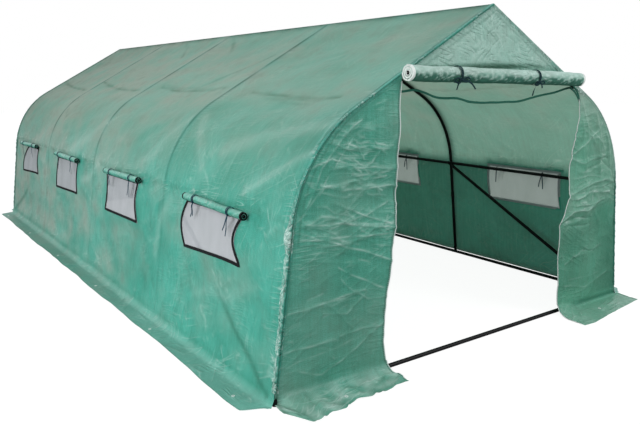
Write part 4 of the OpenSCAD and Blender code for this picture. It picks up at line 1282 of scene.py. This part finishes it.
def make_door_ties():
    """Two tapes tied round the rolled door, with their bows and tails."""
    cloth = Cloth()
    axis = ROLL_END - ROLL_START
    for x, tails in zip(DOOR_TIES, DOOR_BOWS):
        centre = roll_point(x)
        lean = np.array([0, 0, 0.10 if x < 0 else 0.02])
        loop_tape(cloth, centre, axis + lean, (0, -1, 0), 0.0446, 0.0080, 0.0018)
        loop_tape(cloth, centre + np.array([0.007, 0, 0.001]), axis, (0, -1, 0), 0.0452, 0.0070, 0.0018)
        knot = centre + np.array([0.003, -0.039, -0.030])
        for turn in ((1, 0, 0), (0.5, 0, 0.85)):
            loop_tape(cloth, knot, turn, (0, -1, 0), 0.0062, 0.011, 0.003)
        for tail in tails:
            hung = [knot + np.array([1.2 * dx, -0.004 - 0.03 * abs(dx), 1.1 * dz]) for dx, dz in tail]
            tape(cloth, smooth_path(hung, 18), (0.35, -0.25, 0.9), 0.0085, 0.0014)
    piece = cloth.piece("door_tie_tapes", "tie", TEAL_TAPE)
    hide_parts("door_ties")


def on_wall(sign, up, off, y):
    """A point by its height up a side wall, its distance out from the hoops' middle line, and its place
    along the tunnel."""
    flat = np.array([FOOT_X, 0.0]) + off * OUT + up * UP
    return np.array([sign * flat[0], y, flat[1]])


def window_edge(sign, k, off, grow=0.0):
    """The bowed outline of a window opening, from its upper rear corner down and round."""
    y0, y1 = BAY_MIDDLES[k] - OPENING_W / 2 - grow, BAY_MIDDLES[k] + OPENING_W / 2 + grow
    low, high = SILL - grow, SILL + OPENING_H + grow
    y = np.concatenate([np.full(24, y1), np.linspace(y1, y0, 41)[1:],
                        np.full(23, y0), np.linspace(y0, y1, 41)[1:-1]])
    up = np.concatenate([np.linspace(high, low, 24), np.full(40, low),
                         np.linspace(low, high, 24)[1:], np.full(39, high)])
    pull_y, pull_up = window_pull(y, up, sign)
    return np.array([on_wall(sign, b, off, a) for a, b in zip(y + pull_y, up + pull_up)])


def make_windows(side_name, sign):
    """The nets, their black edges and the rolled flaps of one side wall, numbered from the front."""
    edges = Cloth()
    out = np.array([sign * OUT[0], 0.0, OUT[1]])
    for k, middle in enumerate(BAY_MIDDLES):
        y, up = np.meshgrid(np.linspace(-NET_W / 2, NET_W / 2, 40) + middle,
                            np.linspace(SILL - NET_LAP, SILL + OPENING_H + NET_LAP, 20))
        pull_y, pull_up = window_pull(y, up, sign)
        slack = ripple((y - middle) * 7 + k, up * 4, 80 + k) * 0.004
        slack = slack + ripple((y - middle) * 16, up * 5, 90 + k) * 0.0015
        off = FILM - 0.0025 + slack * np.sin((up - up.min()) / np.ptp(up) * math.pi)
        x = FOOT_X + off * OUT[0] + (up + pull_up) * UP[0]
        z = off * OUT[1] + (up + pull_up) * UP[1]
        grid = np.stack([sign * x, y + pull_y, z], axis=-1)
        cut = np.stack([y, up], axis=-1)
        net = Cloth()
        net.grid(grid[:, ::int(sign)], cut[:, ::int(sign)])
        piece = net.piece(f"{side_name}_net_{k + 1}", "net", NET)
        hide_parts(side_name + "_window_nets")

        path = window_edge(sign, k, FILM + 0.0016, 0.002)
        across = np.cross(along_path(path, True), out)
        tape(edges, path, across, 0.0195, 0.0022, closed=True)

        tip = FLAP_TIP * (-1) ** k
        ends = [on_wall(sign, FLAP_S + e * tip, FLAP_OFF, middle + e * FLAP_L / 2) for e in (-1, 1)]
        flap = Cloth()
        length = rolled(flap, ends[0], ends[1], out, radius=FLAP_R, core=0.005, turns=4.0, thick=0.0024,
                        stations=36, around=20, seed=100 + 7 * k + (sign > 0), bound=0.015, dust=0.2,
                        tight=[FLAP_L / 2 + place for place in FLAP_TIES])
        piece = flap.piece(f"{side_name}_flap_{k + 1}", "film_roll", FLAP, BLACK_TAPE)
        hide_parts(side_name + "_window_rolls")
    piece = edges.piece(side_name + "_window_edge_tapes", "binding", BLACK_TAPE)
    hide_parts(side_name + "_window_bindings")


def make_window_ties():
    """Two tapes round each rolled flap, tied in front, with tails down over the net."""
    cloth = Cloth()
    chance = np.random.default_rng(5)
    for sign in (-1, 1):
        out = np.array([sign * OUT[0], 0.0, OUT[1]])
        for k, middle in enumerate(BAY_MIDDLES):
            for place in FLAP_TIES:
                y = middle + place
                centre = on_wall(sign, FLAP_S + FLAP_TIP * (-1) ** k * np.sign(place) * 0.6, FLAP_OFF, y)
                beside = centre + np.array([0, 0.009, 0])
                loop_tape(cloth, centre, (0, 1, 0.12), out, FLAP_R + 0.0012, 0.008, 0.0016)
                loop_tape(cloth, beside, (0, 1, -0.08), out, FLAP_R + 0.0018, 0.007, 0.0016)
                knot = centre + out * (FLAP_R * 0.80) + np.array([0, 0, -FLAP_R * 0.72])
                loop_tape(cloth, knot, (0, 1, 0.3), out, 0.0050, 0.009, 0.0026)
                for drift in (0.030, 0.075) if place < 0 else (0.005, 0.045):
                    far = 0.085 + 0.055 * chance.random()
                    swing = drift + 0.02 * chance.random()
                    bend = 0.010 * (chance.random() - 0.5)
                    hung = ((0, 0, 0), (sign * 0.002, swing * 0.25 + bend, -far * 0.30),
                            (-sign * 0.004, swing * 0.62 - bend, -far * 0.66), (-sign * 0.006, swing, -far))
                    path = smooth_path([knot + np.array(point) for point in hung], 16)
                    tape(cloth, path, (0.1, 1.0, 0.25), 0.0095, 0.0012)
                inner = on_wall(sign, SILL + OPENING_H - 0.004, FILM - 0.012, y + 0.03)
                for swing in (-0.012, 0.026) if place < 0 else (0.004,):
                    far = 0.10 + 0.05 * chance.random()
                    hung = ((0, 0, 0), (-sign * 0.006, swing * 0.3, -far * 0.35),
                            (-sign * 0.004, swing * 0.8, -far * 0.7), (-sign * 0.003, swing, -far))
                    path = smooth_path([inner + np.array(point) for point in hung], 14)
                    tape(cloth, path, (0.1, 1.0, 0.2), 0.0085, 0.0012)
    piece = cloth.piece("window_tie_tapes", "tie", BLUE_TAPE)
    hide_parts("window_ties")


ZIP_TOP = 1.585


def make_zips(left_lip, right_lip):
    """Pale zip tape and its piping down both edges of the doorway."""
    cloth = Cloth()
    for lip, sign in ((left_lip, -1), (right_lip, 1)):
        path = lip[3:][lip[3:, 2] < ZIP_TOP]
        path[:, 2] = np.maximum(path[:, 2], 0.0045)
        path = path + np.array([sign * 0.006, -0.0022, 0.0])
        tape(cloth, path, (1, 0, 0), 0.010, 0.0016, 0)
        piping(cloth, path + np.array([-sign * 0.0052, -0.0010, 0.0]), 0.0023, 1)
    piece = cloth.piece("door_zip_tapes", "zip", PALE_TAPE, PALE_CORD)
    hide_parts("door_zips")


# The slack tape across the doorway and the two edges of its corner, as (across, height)
SLACK_TAPE_W = 0.013
SLACK_TAPE = [
    (-0.740, 1.526), (-0.672, 1.531), (-0.595, 1.536), (-0.516, 1.521), (-0.417, 1.491), (-0.283, 1.485),
    (-0.219, 1.475), (-0.141, 1.459), (0.030, 1.452), (0.171, 1.451), (0.276, 1.452), (0.438, 1.476),
    (0.608, 1.496), (0.769, 1.522)]
CORNER_EDGES = [
    [(0.752, 1.525), (0.805, 1.500), (0.845, 1.465), (0.874, 1.424)],
    [(0.790, 1.532), (0.822, 1.512), (0.852, 1.478), (0.874, 1.432)]]


def make_slack_tape():
    """A dark tape that hangs slack across the head of the doorway, and the dark corner that holds it on the
    right."""
    cloth = Cloth()
    path = smooth_path([(x, -2.9995, z) for x, z in SLACK_TAPE], 90)
    path[:, 2] += ripple(path[:, 0] * 9, path[:, 0] * 0, 31) * 0.002
    tape(cloth, path, (0, 0.25, 1), SLACK_TAPE_W, 0.0022)
    piece = cloth.piece("door_head_tape", "film_end", DARK_TAPE)
    length = float(np.linalg.norm(np.diff(path, axis=0), axis=1).sum())
    corner = Cloth()
    for edge in CORNER_EDGES:
        path = smooth_path([(x, -3.012, z) for x, z in edge], 14)
        tape(corner, path, (0.7, 0.0, 0.7), SLACK_TAPE_W, 0.0025)
    corner.piece("door_corner_tape", "film_end", DARK_TAPE)


# Bolts at the plug joints, purlins and base rails, as height up the post and distance from its middle line
BOLT_PLACES = ((0.545, -0.0139), (0.852, -0.0379), (0.0165, -0.0379))


def make_bolts():
    """Domed hexagon bolts with washers at the joints of the frame, modelled once and copied."""
    bpy.ops.object.select_all(action="DESELECT")
    bpy.ops.mesh.primitive_cylinder_add(vertices=6, radius=0.0066, depth=0.0046, location=(0, 0, 0.0036))
    head = bpy.context.object
    bpy.ops.object.mode_set(mode="EDIT")
    bpy.ops.mesh.select_all(action="DESELECT")
    bpy.ops.object.mode_set(mode="OBJECT")
    for face in head.data.polygons:
        face.select = face.normal.z > 0.9
    bpy.ops.object.mode_set(mode="EDIT")
    bpy.ops.mesh.inset(thickness=0.0012)
    bpy.ops.transform.translate(value=(0, 0, 0.0009))
    bpy.ops.object.mode_set(mode="OBJECT")
    bpy.ops.object.transform_apply(location=True, rotation=True, scale=True)
    bpy.ops.mesh.primitive_cylinder_add(vertices=16, radius=0.0095, depth=0.0016, location=(0, 0, 0.0006))
    bpy.ops.object.mode_set(mode="EDIT")
    bpy.ops.mesh.select_all(action="SELECT")
    bpy.ops.mesh.bevel(offset=0.0003, segments=1)
    bpy.ops.object.mode_set(mode="OBJECT")
    head.select_set(True)
    bpy.context.view_layer.objects.active = head
    bpy.ops.object.join()
    bpy.ops.object.transform_apply(location=True, rotation=True, scale=True)
    copies = []
    for sign in (-1, 1):
        inward = Vector((-sign * OUT[0], 0, -OUT[1]))
        turn = inward.to_track_quat("Z", "Y").to_matrix().to_4x4()
        for k in range(5):
            for up, off in BOLT_PLACES:
                place = Vector(on_wall(sign, up, off, -HOOP_Y + k * BAY))
                copy = head.copy()
                copy.data = head.data.copy()
                bpy.context.collection.objects.link(copy)
                copy.data.transform(Matrix.Translation(place) @ turn)
                copies.append(copy)
    bpy.ops.object.select_all(action="DESELECT")
    for copy in copies:
        copy.select_set(True)
    bpy.context.view_layer.objects.active = copies[0]
    bpy.ops.object.join()
    bolts = bpy.context.object
    bolts.name = "frame_bolts"
    bolts.data.materials.clear()
    bolts.data.materials.append(BOLT_STEEL)
    bpy.data.objects.remove(head)
    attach(bolts, "root")


# Edges of the front panels: how far the skirt reaches out at places across, and the doorway's edge at heights
LEFT_SKIRT = ([0.745, 0.89, 1.03, 1.11, 1.21, 1.283, 1.37, 1.427, 1.466, 1.49],
              [0.004, 0.015, 0.025, 0.004, 0.045, 0.029, 0.066, 0.077, -0.035, -0.085])
RIGHT_SKIRT = ([0.75, 0.86, 1.10, 1.45, 1.49], [0.075, 0.085, 0.048, 0.006, 0.0])
LEFT_EDGE = ([0.0, 0.02, 0.18, 0.43, 0.81, 0.97, 1.25, 1.51, 1.6],
             [0.745, 0.752, 0.790, 0.787, 0.739, 0.729, 0.714, 0.699, 0.695])
RIGHT_EDGE = (
    [0.0, 0.03, 0.12, 0.26, 0.60, 0.655, 0.70, 0.81, 0.95, 1.124, 1.232, 1.337, 1.444, 1.51, 1.6],
    [0.752, 0.80, 0.79, 0.765, 0.724, 0.704, 0.748, 0.800, 0.798, 0.815, 0.836, 0.865, 0.862, 0.815, 0.80])

make_cover()
left_lip = make_front_panel("front_left_sheet", -1, LEFT_EDGE, LEFT_SKIRT, TURN_R, LEFT_CREASES, 0.0, 20,
                            "front_left_panel", "front_left_skirt")
right_lip = make_front_panel("front_right_sheet", 1, RIGHT_EDGE, RIGHT_SKIRT, 0.016, RIGHT_CREASES, 0.55, 50,
                             "front_right_panel", "front_right_skirt")
make_gable()
make_rear()
make_hem("front_hem_sheet", -1)
make_hem("rear_hem_sheet", 1)
make_door_roll()
make_door_ties()
make_windows("left", -1)
make_windows("right", 1)
make_window_ties()
make_zips(left_lip, right_lip)
make_slack_tape()
make_bolts()

node_finishes = {"post_feet": FOOT_BLACK, "ridge_fittings": SOCKET_BLACK, "peg_eyelets": RING_METAL}
for node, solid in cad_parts.items():
    solid.data.materials.clear()
    solid.data.materials.append(node_finishes.get(node, TUBE_BLACK))
